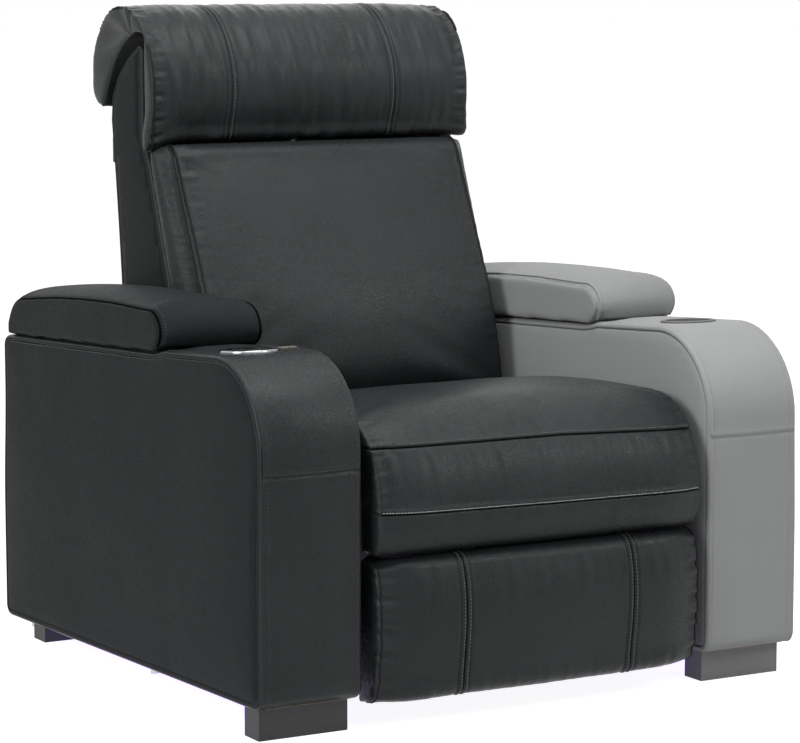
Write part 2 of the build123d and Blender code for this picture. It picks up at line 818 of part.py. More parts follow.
mechanism_plates.part.label = "mechanism_plates"

plate_inner_x = plate_outer_x - plate_thickness
layer = link_thickness + link_layer_gap
rear_link_x = plate_inner_x - link_layer_gap
carrier_x = rear_link_x - layer
front_link_x = carrier_x - layer
guide_x = front_link_x - layer


def rod_plane(x, start, tip):
    """Plane with its first axis from start to tip, in the side view at x."""
    run = hypot(tip[0] - start[0], tip[1] - start[1])
    along = (0, (tip[0] - start[0]) / run, (tip[1] - start[1]) / run)
    origin = (x, start[0] - front_reach, start[1])
    return Plane(origin=origin, x_dir=along, z_dir=(1, 0, 0))


def span(start, tip):
    """Distance between two places in the side view."""
    return hypot(tip[0] - start[0], tip[1] - start[1])


# Cross tube that carries both motors, with an ear pair for each.
with BuildPart() as motor_mount_tube:
    with BuildSketch(side(-plate_inner_x)):
        with Locations((mount_tube_depth, mount_tube_height)):
            Rectangle(mount_tube_size, mount_tube_size)
            Rectangle(
                mount_tube_size - 2 * mount_tube_wall,
                mount_tube_size - 2 * mount_tube_wall,
                mode=Mode.SUBTRACT,
            )
    extrude(amount=2 * plate_inner_x)
    ear_inner = rod_eye_thickness / 2 + motor_ear_air
    ear_sides = (-ear_inner - motor_ear, ear_inner)
    for x, pivot in ((leg_motor_x, leg_motor_pivot), (back_motor_x, back_motor_pivot)):
        for offset_x in ear_sides:
            toward = 1 if pivot[0] > mount_tube_depth else -1
            root = (mount_tube_depth + toward * (mount_half + 1), mount_tube_height)
            with BuildSketch(side(x + offset_x)):
                with Locations(pivot):
                    Circle(motor_ear_radius)
                with Locations(root):
                    Rectangle(2, mount_tube_size - 2)
                make_hull()
                with Locations(pivot):
                    Circle(motor_pin_radius, mode=Mode.SUBTRACT)
            extrude(amount=motor_ear)
motor_mount_tube.part.label = "motor_mount_tube"

with BuildPart() as middle_rail:
    rail_floor = underside(middle_rail_depth) + middle_rail_air
    with Locations(at(0, middle_rail_depth, rail_floor + middle_rail_height / 2)):
        Box(seat_opening, rail_board, middle_rail_height)
middle_rail.part.label = "middle_rail"

with BuildPart() as rear_rail:
    with BuildSketch(facing(rear_rail_depth + rail_board / 2)):
        with Locations((0, (underside(rear_rail_depth) + rear_rail_top) / 2)):
            Rectangle(seat_opening, rear_rail_top - underside(rear_rail_depth))
        with Locations((power_x, power_height)):
            Circle(inlet_barrel_radius, mode=Mode.SUBTRACT)
    extrude(amount=rail_board)
rear_rail.part.label = "rear_rail"

with BuildPart() as power_box:
    box_rear = rear_rail_depth - rail_board / 2
    with Locations(at(power_x, box_rear - power_box_depth / 2, power_height)):
        Box(power_box_length, power_box_depth, power_box_height)
    fillet(power_box.edges().filter_by(Axis.Y), radius=power_box_round)
power_box.part.label = "power_box"

with BuildPart() as power_inlet:
    rail_rear = rear_rail_depth + rail_board / 2
    with BuildSketch(facing(rail_rear + inlet_flange)):
        with Locations((power_x, power_height)):
            Circle(inlet_flange_radius)
    extrude(amount=inlet_flange)
    with BuildSketch(facing(rail_rear)):
        with Locations((power_x, power_height)):
            Circle(inlet_barrel_radius)
    extrude(amount=rail_board)
    with BuildSketch(facing(rail_rear + inlet_flange)):
        with Locations((power_x, power_height)):
            Circle(inlet_socket_radius)
            Circle(inlet_pin_radius, mode=Mode.SUBTRACT)
    extrude(amount=inlet_socket_depth, mode=Mode.SUBTRACT)
power_inlet.part.label = "power_inlet"

# Light strips under both arms and under the middle rail.
led_rear_depth = arm_depth - led_rear_inset
led_front_top = underside(led_front_depth)
led_rear_top = underside(led_rear_depth)

with BuildPart() as led_strips:
    for x in (-arm_middle - led_width / 2, arm_middle - led_width / 2):
        with BuildSketch(side(x)):
            with BuildLine():
                Polyline(
                    (led_front_depth, led_front_top), (led_rear_depth, led_rear_top),
                    (led_rear_depth, led_rear_top - led_thickness),
                    (led_front_depth, led_front_top - led_thickness),
                    close=True,
                )
            make_face()
        extrude(amount=led_width)
    with Locations(at(0, middle_rail_depth, rail_floor - led_thickness / 2)):
        Box(seat_opening - 2 * led_rail_margin, led_width, led_thickness)
led_strips.part.label = "led_strips"

# Fixing bolts under the left and right arms: washer and capped head.
fall = (rear_clearance - front_clearance) / arm_depth
with BuildPart() as arm_bolts:
    for depth in bolt_depths:
        for x in (-arm_outer + bolt_inset, arm_outer - bolt_inset):
            seat = (x, depth - front_reach, underside(depth))
            with BuildSketch(Plane(origin=seat, x_dir=(1, 0, 0), z_dir=(0, fall, -1))):
                Circle(bolt_washer_radius)
            extrude(amount=bolt_washer_thickness)
            with BuildSketch(Plane(origin=seat, x_dir=(1, 0, 0), z_dir=(0, fall, -1))):
                Circle(bolt_head_radius)
            extrude(amount=bolt_head_length)
arm_bolts.part.label = "arm_bolts"

# ================================================================ leg rest links


def bars(places, start_x, end_x, radius):
    """Round bars along X on the left side, through the places given, in the piece being made."""
    with BuildSketch(side(-start_x)) as rounds:
        with Locations(*places):
            Circle(radius)
    extrude(rounds.sketch, amount=start_x - end_x)


def bar(x, ends):
    """Flat bar at x round the ends, given as (place, radius), in the piece being made."""
    with BuildSketch(side(x)) as outline:
        for place, radius in ends:
            with Locations(place):
                Circle(radius)
        make_hull()
    extrude(outline.sketch, amount=link_thickness)


def bore(x, places, radius):
    """Round holes through the bar at x, in the piece being made."""
    with BuildSketch(side(x)) as rounds:
        with Locations(*places):
            Circle(radius)
    extrude(rounds.sketch, amount=link_thickness, mode=Mode.SUBTRACT)


def headed_pin(places, start_x, inner_x, outer_x):
    """Pins from start_x through a plate that lies between inner_x and outer_x, with a head."""
    head_x = inner_x - pivot_air
    bars(places, start_x, head_x - pivot_head, pivot_radius)
    bars(places, head_x, head_x - pivot_head, pivot_head_radius)


with BuildPart() as base_pins:
    headed_pin([rear_hanger], plate_outer_x, rear_link_x - link_thickness, rear_link_x)
    bars([rear_hanger], plate_inner_x, rear_link_x + pivot_air, pivot_head_radius)
    headed_pin([front_hanger], plate_outer_x, front_link_x - link_thickness, front_link_x)
    bars([front_hanger], plate_inner_x, front_link_x + pivot_air, pivot_head_radius)
    bars([back_hinge], back_half_width - back_shell - back_pin_air, plate_inner_x, pivot_radius)
    bars([back_hinge], plate_inner_x, plate_inner_x - back_pin_head, pivot_head_radius)
    mirror(about=Plane.YZ)
    for x, pivot in ((leg_motor_x, leg_motor_pivot), (back_motor_x, back_motor_pivot)):
        with BuildSketch(side(x - rod_eye_thickness / 2 - motor_pin_overhang)):
            with Locations(pivot):
                Circle(motor_pin_radius)
        extrude(amount=rod_eye_thickness + 2 * motor_pin_overhang)
base_pins.part.label = "base_pins"

tube_place = (rear_hanger[0] + drive_tube_offset[0], rear_hanger[1] + drive_tube_offset[1])
crank_place = (rear_hanger[0], rear_hanger[1] - crank_length)

with BuildPart() as rear_links:
    bar(-rear_link_x, [(rear_hanger, link_half_width), (rear_foot_pivot, link_half_width)])
    bar(-rear_link_x, [(rear_hanger, link_half_width), (tube_place, drive_tube_radius + tube_arm_wall)])
    bore(-rear_link_x, [rear_hanger, rear_foot_pivot], pivot_radius + pivot_clearance)
    mirror(about=Plane.YZ)
rear_links.part.label = "rear_links"

with BuildPart() as front_links:
    bar(-front_link_x, [(front_hanger, link_half_width), (front_foot_pivot, link_half_width)])
    bar(-front_link_x, [(front_foot_pivot, link_half_width), (guide_tail, link_half_width)])
    bore(-front_link_x, [front_hanger, guide_tail], pivot_radius + pivot_clearance)
    bore(-front_link_x, [front_foot_pivot], pivot_radius + open_pivot_clearance)
    mirror(about=Plane.YZ)
front_links.part.label = "front_links"

# The carrier holds the pins of its three pivots, the guide link those of its two.
with BuildPart() as carrier_links:
    carrier_pivots = (rear_foot_pivot, front_foot_pivot, leg_rest_hinge)
    bar(-carrier_x, [(place, link_half_width - 1) for place in carrier_pivots])
    outer_head_x = rear_link_x + pivot_air
    bars([rear_foot_pivot], outer_head_x + pivot_head, carrier_x, pivot_radius)
    bars([rear_foot_pivot], outer_head_x + pivot_head, outer_head_x, pivot_head_radius)
    bars([rear_foot_pivot], rear_link_x - link_thickness - pivot_air, carrier_x, pivot_head_radius)
    inner_pivots = [front_foot_pivot, leg_rest_hinge]
    carrier_inner_x = carrier_x - link_thickness
    headed_pin(inner_pivots, carrier_inner_x, front_link_x - link_thickness, front_link_x)
    bars(inner_pivots, carrier_inner_x, front_link_x + pivot_air, pivot_head_radius)
    mirror(about=Plane.YZ)
carrier_links.part.label = "carrier_links"

with BuildPart() as guide_links:
    guide_pivots = [guide_tail, leg_rest_guide]
    bar(-guide_x, [(place, link_half_width) for place in guide_pivots])
    outer_head_x = front_link_x + pivot_air
    bars(guide_pivots, outer_head_x + pivot_head, guide_x, pivot_radius)
    bars(guide_pivots, outer_head_x + pivot_head, outer_head_x, pivot_head_radius)
    bars(guide_pivots, front_link_x - link_thickness - pivot_air, guide_x, pivot_head_radius)
    mirror(about=Plane.YZ)
guide_links.part.label = "guide_links"

with BuildPart() as drive_tube:
    tube_reach = rear_link_x - link_thickness
    with BuildSketch(side(-tube_reach)):
        with Locations(tube_place):
            Circle(drive_tube_radius)
            Circle(drive_tube_radius - drive_tube_wall, mode=Mode.SUBTRACT)
    extrude(amount=2 * tube_reach)
    with BuildSketch(side(leg_motor_x - crank_gap / 2)):
        with Locations(tube_place):
            Circle(drive_tube_radius)
    extrude(amount=crank_gap, mode=Mode.SUBTRACT)
    for offset_x in (-crank_gap / 2 - crank_ear, crank_gap / 2):
        with BuildSketch(side(leg_motor_x + offset_x)):
            with Locations(tube_place):
                Circle(drive_tube_radius + crank_root_wall)
            with Locations(crank_place):
                Circle(crank_tip_radius)
            make_hull()
            with Locations(tube_place):
                Circle(drive_tube_radius - drive_tube_wall, mode=Mode.SUBTRACT)
        extrude(amount=crank_ear)
    with BuildSketch(side(leg_motor_x - crank_gap / 2 - crank_ear)):
        with Locations(crank_place):
            Circle(crank_pin_radius)
    extrude(amount=crank_gap + 2 * crank_ear)
drive_tube.part.label = "drive_tube"

# ================================================================ leg rest
with BuildPart() as leg_rest_board:
    board_floor_middle = (leg_board_floor + leg_board_top) / 2
    with Locations(at(0, (leg_board_front + leg_board_rear) / 2, board_floor_middle)):
        Box(
            2 * leg_board_half_width,
            leg_board_rear - leg_board_front,
            leg_board_top - leg_board_floor,
        )
leg_rest_board.part.label = "leg_rest_board"

with BuildPart() as leg_rest_brackets:
    with BuildSketch(side(-front_link_x)):
        with Locations(leg_rest_hinge, leg_rest_guide):
            Circle(link_half_width)
        with Locations((leg_board_rear + bracket_foot_thickness / 2, bracket_foot_height)):
            Rectangle(bracket_foot_thickness, bracket_foot_length)
        make_hull()
        with Locations(leg_rest_hinge):
            Circle(pivot_radius + pivot_clearance, mode=Mode.SUBTRACT)
        with Locations(leg_rest_guide):
            Circle(pivot_radius + open_pivot_clearance, mode=Mode.SUBTRACT)
    extrude(amount=link_thickness)
    flange_x = -front_link_x + bracket_flange_width / 2
    flange_depth = leg_board_rear + bracket_flange_thickness / 2
    with Locations(at(flange_x, flange_depth, bracket_flange_height)):
        Box(bracket_flange_width, bracket_flange_thickness, bracket_flange_length)
    mirror(about=Plane.YZ)
leg_rest_brackets.part.label = "leg_rest_brackets"


def leg_outline(x, puff):
    """Side outline of the leg rest's pad at x: puff is 0 at its sides, 1 in the middle."""
    out = leg_front_crown * puff
    front = 4 - out
    with BuildSketch(side(x)) as outline:
        with BuildLine():
            Polyline(
                (14, leg_pad_floor + 6), (leg_board_rear, leg_pad_floor),
                (leg_board_rear, leg_pad_top - 6), (22, leg_pad_top),
            )
            ThreePointArc((22, leg_pad_top), (front + 6, leg_pad_top - 6), (front - 4, 232))
            ThreePointArc((front - 4, 232), (front - 10, 150), (front - 2, 76))
            ThreePointArc((front - 2, 76), (front + 4, leg_pad_floor + 14), (14, leg_pad_floor + 6))
        make_face()
    return outline.sketch


leg_sections = Sketch() + [
    leg_outline(x, puff)
    for x, puff in (
        (-seat_half, 0), (-seat_half + leg_edge_inset, leg_edge_puff),
        (-seat_half / 2, leg_quarter_puff), (0, 1), (seat_half / 2, leg_quarter_puff),
        (seat_half - leg_edge_inset, leg_edge_puff), (seat_half, 0),
    )
]
with BuildPart() as leg_rest_cushion:
    loft(leg_sections.faces().sort_by(Axis.X))
    add(leg_rest_board.part, mode=Mode.SUBTRACT)
leg_rest_cushion.part.label = "leg_rest_cushion"

# ================================================================ motors
half_case = motor_case_breadth / 2
housing_middle = motor_housing_start + motor_housing_length / 2


def motor_case(x, start, tip, hang):
    """Linear motor: eye, gear housing, rail tube and a motor can hanging by hang."""
    plane = rod_plane(x, start, tip)
    with BuildPart() as case:
        with BuildSketch(plane.offset(-rod_eye_thickness / 2)):
            Circle(motor_ear_radius)
            with Locations((motor_tongue_middle, 0)):
                Rectangle(motor_tongue_length, motor_tongue_height)
            Circle(motor_pin_radius + pivot_clearance, mode=Mode.SUBTRACT)
        extrude(amount=rod_eye_thickness)
        with BuildSketch(plane.offset(-half_case)):
            with Locations(((motor_case_length + motor_case_start) / 2, 0)):
                Rectangle(motor_case_length - motor_case_start, motor_case_breadth)
        extrude(amount=motor_case_breadth)
        long_edges = case.edges().filter_by(lambda e: e.length > motor_long_edge)
        fillet(long_edges, radius=motor_case_round)
        with BuildSketch(plane.offset(-half_case - motor_housing_proud)):
            with Locations((housing_middle, hang / 4)):
                Rectangle(motor_housing_length, motor_case_breadth + motor_housing_tall)
        extrude(amount=motor_case_breadth + 2 * motor_housing_proud)
        down = plane.y_dir if hang > 0 else -plane.y_dir
        can = Plane(origin=plane.from_local_coords((housing_middle, hang / 4, 0)), z_dir=down)
        with BuildSketch(can):
            Circle(motor_can_radius)
        extrude(amount=abs(hang))
        bore = Plane(origin=plane.from_local_coords((motor_case_length, 0, 0)), z_dir=plane.x_dir)
        with BuildSketch(bore):
            Circle(motor_rod_radius + rod_fit)
        extrude(amount=motor_bore_end - motor_case_length, mode=Mode.SUBTRACT)
    return case


def motor_rod(x, start, tip, inner_end, bore_radius):
    """Rod with an eye at its tip, from inner_end along the line from start to tip."""
    plane = rod_plane(x, start, tip)
    reach = span(start, tip)
    with BuildPart() as rod:
        with BuildSketch(Plane(origin=plane.from_local_coords((inner_end, 0, 0)), z_dir=plane.x_dir)):
            Circle(motor_rod_radius)
        extrude(amount=reach - inner_end - bore_radius - rod_shank_overlap)
        with BuildSketch(plane.offset(-rod_eye_thickness / 2)):
            with Locations((reach, 0)):
                Circle(bore_radius + rod_eye_wall)
                Circle(bore_radius, mode=Mode.SUBTRACT)
        extrude(amount=rod_eye_thickness)
    return rod


leg_motor = motor_case(leg_motor_x, leg_motor_pivot, leg_motor_tip, motor_can_hang)
leg_motor.part.label = "leg_motor"
leg_motor_rod = motor_rod(
    leg_motor_x, leg_motor_pivot, leg_motor_tip, leg_rod_inner_end, leg_eye_bore
)
leg_motor_rod.part.label = "leg_motor_rod"
back_motor = motor_case(back_motor_x, back_motor_pivot, back_motor_tip, -motor_can_hang)
back_motor.part.label = "back_motor"
back_motor_rod = motor_rod(
    back_motor_x, back_motor_pivot, back_motor_tip, back_rod_inner_end, back_eye_bore
)
back_motor_rod.part.label = "back_motor_rod"

# ================================================================ back


def back_outline(x, inset):
    """Side outline of the back's shell at x; inset draws in its rear and top only."""
    rear = -inset
    with BuildSketch(side(x)) as outline:
        with BuildLine():
            Polyline(
                (774, 1006 + rear), (774, 846), (748, 800), (679, 615), (612, 424),
                (612, 352 - inset * 2), (846 + rear, 330 - inset * 2),
            )
            ThreePointArc((846 + rear, 330 - inset * 2), (866 + rear, 610), (897 + rear, 870))
            ThreePointArc((897 + rear, 870), (868 + rear * 0.8, 946 + rear * 0.6), (774, 1006 + rear))
        make_face()
    return outline.sketch


with BuildPart() as back_cover:
    extrude(back_outline(-back_half_width, 0), amount=2 * back_half_width, dir=(1, 0, 0))
    rear_face = back_cover.faces().filter_by(GeomType.CYLINDER).sort_by(Axis.Z)[0]
    fillet(rear_face.edges().filter_by(GeomType.CIRCLE), radius=back_cover_round)
    inner_half = back_half_width - back_shell
    extrude(
        back_outline(-inner_half, back_shell), amount=2 * inner_half, dir=(1, 0, 0), mode=Mode.SUBTRACT
    )
back_cover.part.label = "back_cover"

with BuildPart() as back_frame:
    extrude(back_outline(-inner_half, back_shell), amount=back_upright, dir=(1, 0, 0))
    with BuildSketch(side(-inner_half)):
        with BuildLine():
            Polyline(*upright_opening, close=True)
        make_face()
    extrude(amount=back_upright, mode=Mode.SUBTRACT)
    with BuildSketch(side(-inner_half)):
        with Locations(back_hinge):
            Circle(pivot_radius + pivot_clearance)
    extrude(amount=back_upright, mode=Mode.SUBTRACT)
    mirror(about=Plane.YZ)
    rail_span = 2 * (inner_half - back_upright)
    for depth, height in back_rails:
        with Locations(at(0, depth, height)):
            Box(rail_span, back_rail, back_rail_height)
    for offset_x in ear_sides:
        with BuildSketch(side(back_motor_x + offset_x)):
            with Locations(back_lever):
                Circle(lever_tip_radius)
            with Locations(lever_root):
                Rectangle(back_rail, lever_root_height)
            make_hull()
        extrude(amount=motor_ear)
    with BuildSketch(side(back_motor_x - rod_eye_thickness / 2 - motor_pin_overhang)):
        with Locations(back_lever):
            Circle(crank_pin_radius)
    extrude(amount=rod_eye_thickness + 2 * motor_pin_overhang)
back_frame.part.label = "back_frame"


def back_pad_outline(x, puff):
    """Side outline of the back cushion at x: puff is 0 at its sides, 1 in the middle."""

    def between(edge, crown):
        return (edge[0] + (crown[0] - edge[0]) * puff, edge[1] + (crown[1] - edge[1]) * puff)

    top = between((742, 824), (722, 832))
    shoulder = between((730, 794), (684, 806))
    middle = between((698, 706), (626, 698))
    belly = between((664, 612), (570, 590))
    low = between((632, 520), (544, 515))
    hem = between((603, 436), (533, 436))
    foot = between((598, 422), (545, 414))
    heel = between((606, 411), (560, 411))
    turn = between((736, 812), (704, 825))
    with BuildSketch(side(x)) as outline:
        with BuildLine():
            Polyline(heel, (611, 411), (611, 424), (678, 615), (747, 800), (747, 826), top)
            ThreePointArc(top, turn, shoulder)
            ThreePointArc(shoulder, middle, belly)
            ThreePointArc(belly, low, hem)
            ThreePointArc(hem, foot, heel)
        make_face()
    return outline.sketch


half_pad = back_cushion_half_width
back_sections = Sketch() + [
    back_pad_outline(x, puff)
    for x, puff in (
        (-half_pad, 0), (-half_pad + back_edge_inset, back_edge_puff),
        (-half_pad / 2, back_quarter_puff), (0, 1), (half_pad / 2, back_quarter_puff),
        (half_pad - back_edge_inset, back_edge_puff), (half_pad, 0),
    )
]
with BuildPart() as back_cushion:
    loft(back_sections.faces().sort_by(Axis.X))
back_cushion.part.label = "back_cushion"

# ================================================================ headrest
with BuildPart() as headrest_mount:
    with Locations(at(0, *headrest_bar)):
        Box(rail_span, headrest_bar_size, headrest_bar_size)
    half_ear = headrest_ear / 2
    for x in (-headrest_ear_x - half_ear, headrest_ear_x - half_ear):
        with BuildSketch(side(x)):
            with Locations(headrest_pivot):
                Circle(headrest_ear_radius)
            with Locations(headrest_bar):
                Rectangle(headrest_bar_size, headrest_bar_size)
            make_hull()
        extrude(amount=headrest_ear)
    pin_outer_x = headrest_ear_x + half_ear
    pin_inner_x = pin_outer_x - headrest_pin_length
    bars([headrest_pivot], pin_outer_x, pin_inner_x, headrest_pin_radius)
    bars([headrest_pivot], -pin_inner_x, -pin_outer_x, headrest_pin_radius)
headrest_mount.part.label = "headrest_mount"

with BuildPart() as headrest_frame:
    tube_half = headrest_ear_x - headrest_tube_air
    with BuildSketch(side(-tube_half)):
        with Locations(headrest_pivot):
            Circle(headrest_tube_radius)
            Circle(headrest_pin_radius + pivot_clearance, mode=Mode.SUBTRACT)
    extrude(amount=2 * tube_half)
    with BuildSketch(side(-tube_half + headrest_plate_margin)):
        with BuildLine():
            Polyline(*headrest_plate, close=True)
        make_face()
    extrude(amount=2 * (tube_half - headrest_plate_margin))
    for x in (-headrest_crank_inner - headrest_ear, headrest_crank_inner):
        with BuildSketch(side(x)):
            with Locations(headrest_pivot, headrest_lever):
                Circle(headrest_crank_radius)
            make_hull()
            with Locations(headrest_pivot):
                Circle(headrest_pin_radius + pivot_clearance, mode=Mode.SUBTRACT)
        extrude(amount=headrest_ear)
    with BuildSketch(side(-headrest_crank_pin_half)):
        with Locations(headrest_lever):
            Circle(headrest_crank_pin_radius)
    extrude(amount=2 * headrest_crank_pin_half)
headrest_frame.part.label = "headrest_frame"


flap_reach = headrest_sweep + 3
flap_start = degrees(atan2(sqrt(flap_reach**2 - 48**2), 48))
headrest_seam_floor = headrest_pivot[1] + flap_reach * sin(radians(flap_start))


def pillow_outline(x, puff):
    """Side outline of the headrest pillow: it rolls round the pivot at its lower edge."""
    bulge = 10 * puff
    low = headrest_roll * sin(radians(45))
    across, up = headrest_pivot
    with BuildSketch(side(x)) as outline:
        with BuildLine():
            ThreePointArc(
                (across + 5, up - headrest_roll + 0.7),
                (across - low, up - low),
                (across - headrest_roll, up + 4),
            )
            ThreePointArc(
                (across - headrest_roll, up + 4),
                (722 - bulge, 930),
                (750 - bulge / 2, 1010 + bulge / 4),
            )
            ThreePointArc(
                (750 - bulge / 2, 1010 + bulge / 4), (768, 1032 + bulge / 2), (800, 1050 + bulge)
            )
            Polyline(
                (800, 1050 + bulge),
                (800, headrest_seam_floor),
                (across + 12, headrest_seam_floor),
                (across + 5, headrest_seam_floor - 9),
                (across + 5, up - headrest_roll + 0.7),
            )
        make_face()
    return outline.sketch


half_rest = headrest_half_width
rest_spread = (
    (-half_rest, 0), (-half_rest + 30, 0.6), (-half_rest / 2, 0.9), (0, 1),
    (half_rest / 2, 0.9), (half_rest - 30, 0.6), (half_rest, 0),
)
pillow_sections = Sketch() + [pillow_outline(x, puff) for x, puff in rest_spread]
with BuildPart() as headrest_pillow:
    loft(pillow_sections.faces().sort_by(Axis.X))
    across, up = headrest_pivot
    for x in (-headrest_ear_x, headrest_ear_x):
        with Locations(at(x, across + 12, up)):
            Box(10, 52, 80, mode=Mode.SUBTRACT)
    with Locations(at(0, across + 12, up - 6)):
        Box(26, 52, 60, mode=Mode.SUBTRACT)
    with BuildSketch(side(-headrest_ear_x)):
        with Locations(headrest_pivot):
            Circle(headrest_tube_radius + 0.5)
    extrude(amount=2 * headrest_ear_x, mode=Mode.SUBTRACT)
    add(headrest_frame.part, mode=Mode.SUBTRACT)
headrest_pillow.part.label = "headrest_pillow"


def flap_outline(x, puff):
    """Side outline of the flap that hangs over the back: inside, an arc round the pivot."""
    across, up = headrest_pivot

    def swept(angle):
        return (across + flap_reach * cos(radians(angle)), up + flap_reach * sin(radians(angle)))

    bulge = 6 * puff
    with BuildSketch(side(x)) as outline:
        with BuildLine():
            ThreePointArc(swept(flap_start), swept(42), swept(12))
            ThreePointArc(swept(12), (950 + bulge, 900), (962 + bulge, 940))
            ThreePointArc((962 + bulge, 940), (948 + bulge, 1006), (890, 1056 + bulge))
            ThreePointArc((890, 1056 + bulge), (846, 1062 + bulge), (800, 1050 + bulge))
            Line((800, 1050 + bulge), swept(flap_start))
        make_face()
    return outline.sketch


flap_sections = Sketch() + [flap_outline(x, puff) for x, puff in rest_spread]
with BuildPart() as headrest_flap:
    loft(flap_sections.faces().sort_by(Axis.X))
headrest_flap.part.label = "headrest_flap"

with BuildPart() as headrest_motor:
    with Locations(at(0, headrest_lever[0], 712)):
        Box(34, 30, 150)
    with Locations(at(0, headrest_lever[0] + 6, 690)):
        Box(56, 40, 60)
    with Locations(at(0, headrest_lever[0], 712)):
        Cylinder(motor_rod_radius + rod_fit, 160, mode=Mode.SUBTRACT)
headrest_motor.part.label = "headrest_motor"

with BuildPart() as headrest_motor_rod:
    with BuildSketch(Plane.XY.offset(690)):
        with Locations((0, headrest_lever[0] - front_reach)):
            Circle(motor_rod_radius)
    extrude(amount=headrest_lever[1] - 690 - 5)
    with BuildSketch(side(-3.5)):
        with Locations(headrest_lever):
            SlotOverall(22, 16)
            SlotOverall(13, 7, mode=Mode.SUBTRACT)
    extrude(amount=7)
headrest_motor_rod.part.label = "headrest_motor_rod"

# ================================================================ right arm


def mirrored(piece, name):
    """The right arm's piece, from the left arm's."""
    with BuildPart() as copy:
        mirror(piece.part, about=Plane.YZ)
    copy.part.label = name
    return copy


left_pieces = [
    left_arm_cover, left_arm_frame, left_storage_bin, left_cup_liner, left_cup_ring,
    left_lid_board, left_lid_pad, left_lid_hinge_base, left_lid_hinge_leaf,
    left_front_foot, left_rear_foot,
]
right_pieces = [mirrored(piece, piece.part.label.replace("left", "right")) for piece in left_pieces]

# ================================================================ files
pieces = left_pieces + right_pieces + [
    left_control_panel, recline_button, return_button, control_lamp,
    seat_frame, seat_webbing, seat_cushion, mechanism_plates, motor_mount_tube,
    middle_rail, rear_rail, power_box, power_inlet, led_strips, arm_bolts, base_pins,
    rear_links, front_links, carrier_links, guide_links, drive_tube,
    leg_rest_board, leg_rest_brackets, leg_rest_cushion,
    leg_motor, leg_motor_rod, back_motor, back_motor_rod,
    back_cover, back_frame, back_cushion,
    headrest_mount, headrest_frame, headrest_pillow, headrest_flap,
    headrest_motor, headrest_motor_rod,
]
for piece in pieces:
    export_step(piece.part, "parts/" + piece.part.label + ".step")
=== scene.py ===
import json
from math import cos, pi, sin

import bmesh
import bpy
import numpy as np
from mathutils import Matrix, Vector, noise
from mathutils.bvhtree import BVHTree
from mathutils.kdtree import KDTree


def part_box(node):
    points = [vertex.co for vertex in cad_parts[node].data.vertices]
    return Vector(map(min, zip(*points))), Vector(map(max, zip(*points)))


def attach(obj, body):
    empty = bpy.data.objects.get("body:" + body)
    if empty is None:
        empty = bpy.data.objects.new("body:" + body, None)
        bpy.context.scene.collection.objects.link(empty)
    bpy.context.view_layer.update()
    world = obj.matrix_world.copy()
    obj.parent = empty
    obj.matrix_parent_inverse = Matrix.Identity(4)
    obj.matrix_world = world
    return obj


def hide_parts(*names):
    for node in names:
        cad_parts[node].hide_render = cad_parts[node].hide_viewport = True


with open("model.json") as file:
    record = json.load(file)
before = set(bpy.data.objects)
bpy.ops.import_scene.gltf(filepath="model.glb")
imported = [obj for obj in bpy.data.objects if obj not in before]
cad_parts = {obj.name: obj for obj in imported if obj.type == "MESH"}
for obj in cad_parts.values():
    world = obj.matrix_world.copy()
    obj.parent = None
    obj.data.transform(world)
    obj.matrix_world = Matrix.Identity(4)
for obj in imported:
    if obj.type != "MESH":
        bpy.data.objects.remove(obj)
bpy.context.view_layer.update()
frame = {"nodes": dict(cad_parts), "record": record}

# Cinema recliner seat. Places are given as x, depth behind the arm fronts and height, in
# millimetres, and turned into the frame's metres by spot().
MM = 0.001
arm_low, arm_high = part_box("left_arm_cover")
seat_low, seat_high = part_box("seat_cushion")
rest_low, rest_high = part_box("headrest_pillow")
back_low, back_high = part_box("back_cover")
FRONT = arm_low.y
ARM_OUTER = -arm_low.x / MM
ARM_INNER = -arm_high.x / MM
SEAT_HALF = seat_high.x / MM
REST_HALF = rest_high.x / MM
BACK_HALF = back_high.x / MM

TWIN_SEAM_X = {"leg_rest": 150.0, "headrest": 156.0}
TWIN_ROW = 4.6               # from a twin seam's middle to each row of stitches
TWIN_EDGE = 9.0              # to the groove along each side of the seam
BACK_SEAM_X = 270.0          # double piping between the back's front and its boxing
FRONT_SEAM_HEIGHT = 394.0    # cross seam of an arm's front


def spot(x, depth, height):
    """A place in the frame, in metres."""
    return Vector((x * MM, FRONT + depth * MM, height * MM))


# ---------------------------------------------------------------- meshes and pieces
def new_piece(name, mesh):
    piece = bpy.data.objects.new(name, mesh)
    bpy.context.scene.collection.objects.link(piece)
    return piece


def from_bmesh(name, shell):
    """A piece from a bmesh, smooth shaded."""
    mesh = bpy.data.meshes.new(name)
    shell.to_mesh(mesh)
    shell.free()
    piece = new_piece(name, mesh)
    smooth_shade(piece)
    return piece


def smooth_shade(piece):
    piece.data.polygons.foreach_set("use_smooth", [True] * len(piece.data.polygons))
    piece.data.update()


def settle(piece):
    """Applies the piece's modifiers to its mesh."""
    graph = bpy.context.evaluated_depsgraph_get()
    done = bpy.data.meshes.new_from_object(piece.evaluated_get(graph), depsgraph=graph)
    piece.modifiers.clear()
    old = piece.data
    piece.data = done
    bpy.data.meshes.remove(old)
    smooth_shade(piece)


def dress(piece, body, material, replaces=()):
    """Gives a finished piece its body and material, and hides the nodes it replaces."""
    piece.data.materials.clear()
    piece.data.materials.append(material)
    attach(piece, body)
    if replaces:
        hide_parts(*replaces)
    return piece


def merged(name, nodes):
    """One closed mesh from CAD nodes, with its doubled corners merged."""
    shell = bmesh.new()
    for node in nodes:
        shell.from_mesh(frame["nodes"][node].data)
    bmesh.ops.remove_doubles(shell, verts=shell.verts, dist=0.01 * MM)
    bmesh.ops.recalc_face_normals(shell, faces=shell.faces)
    return from_bmesh(name, shell)


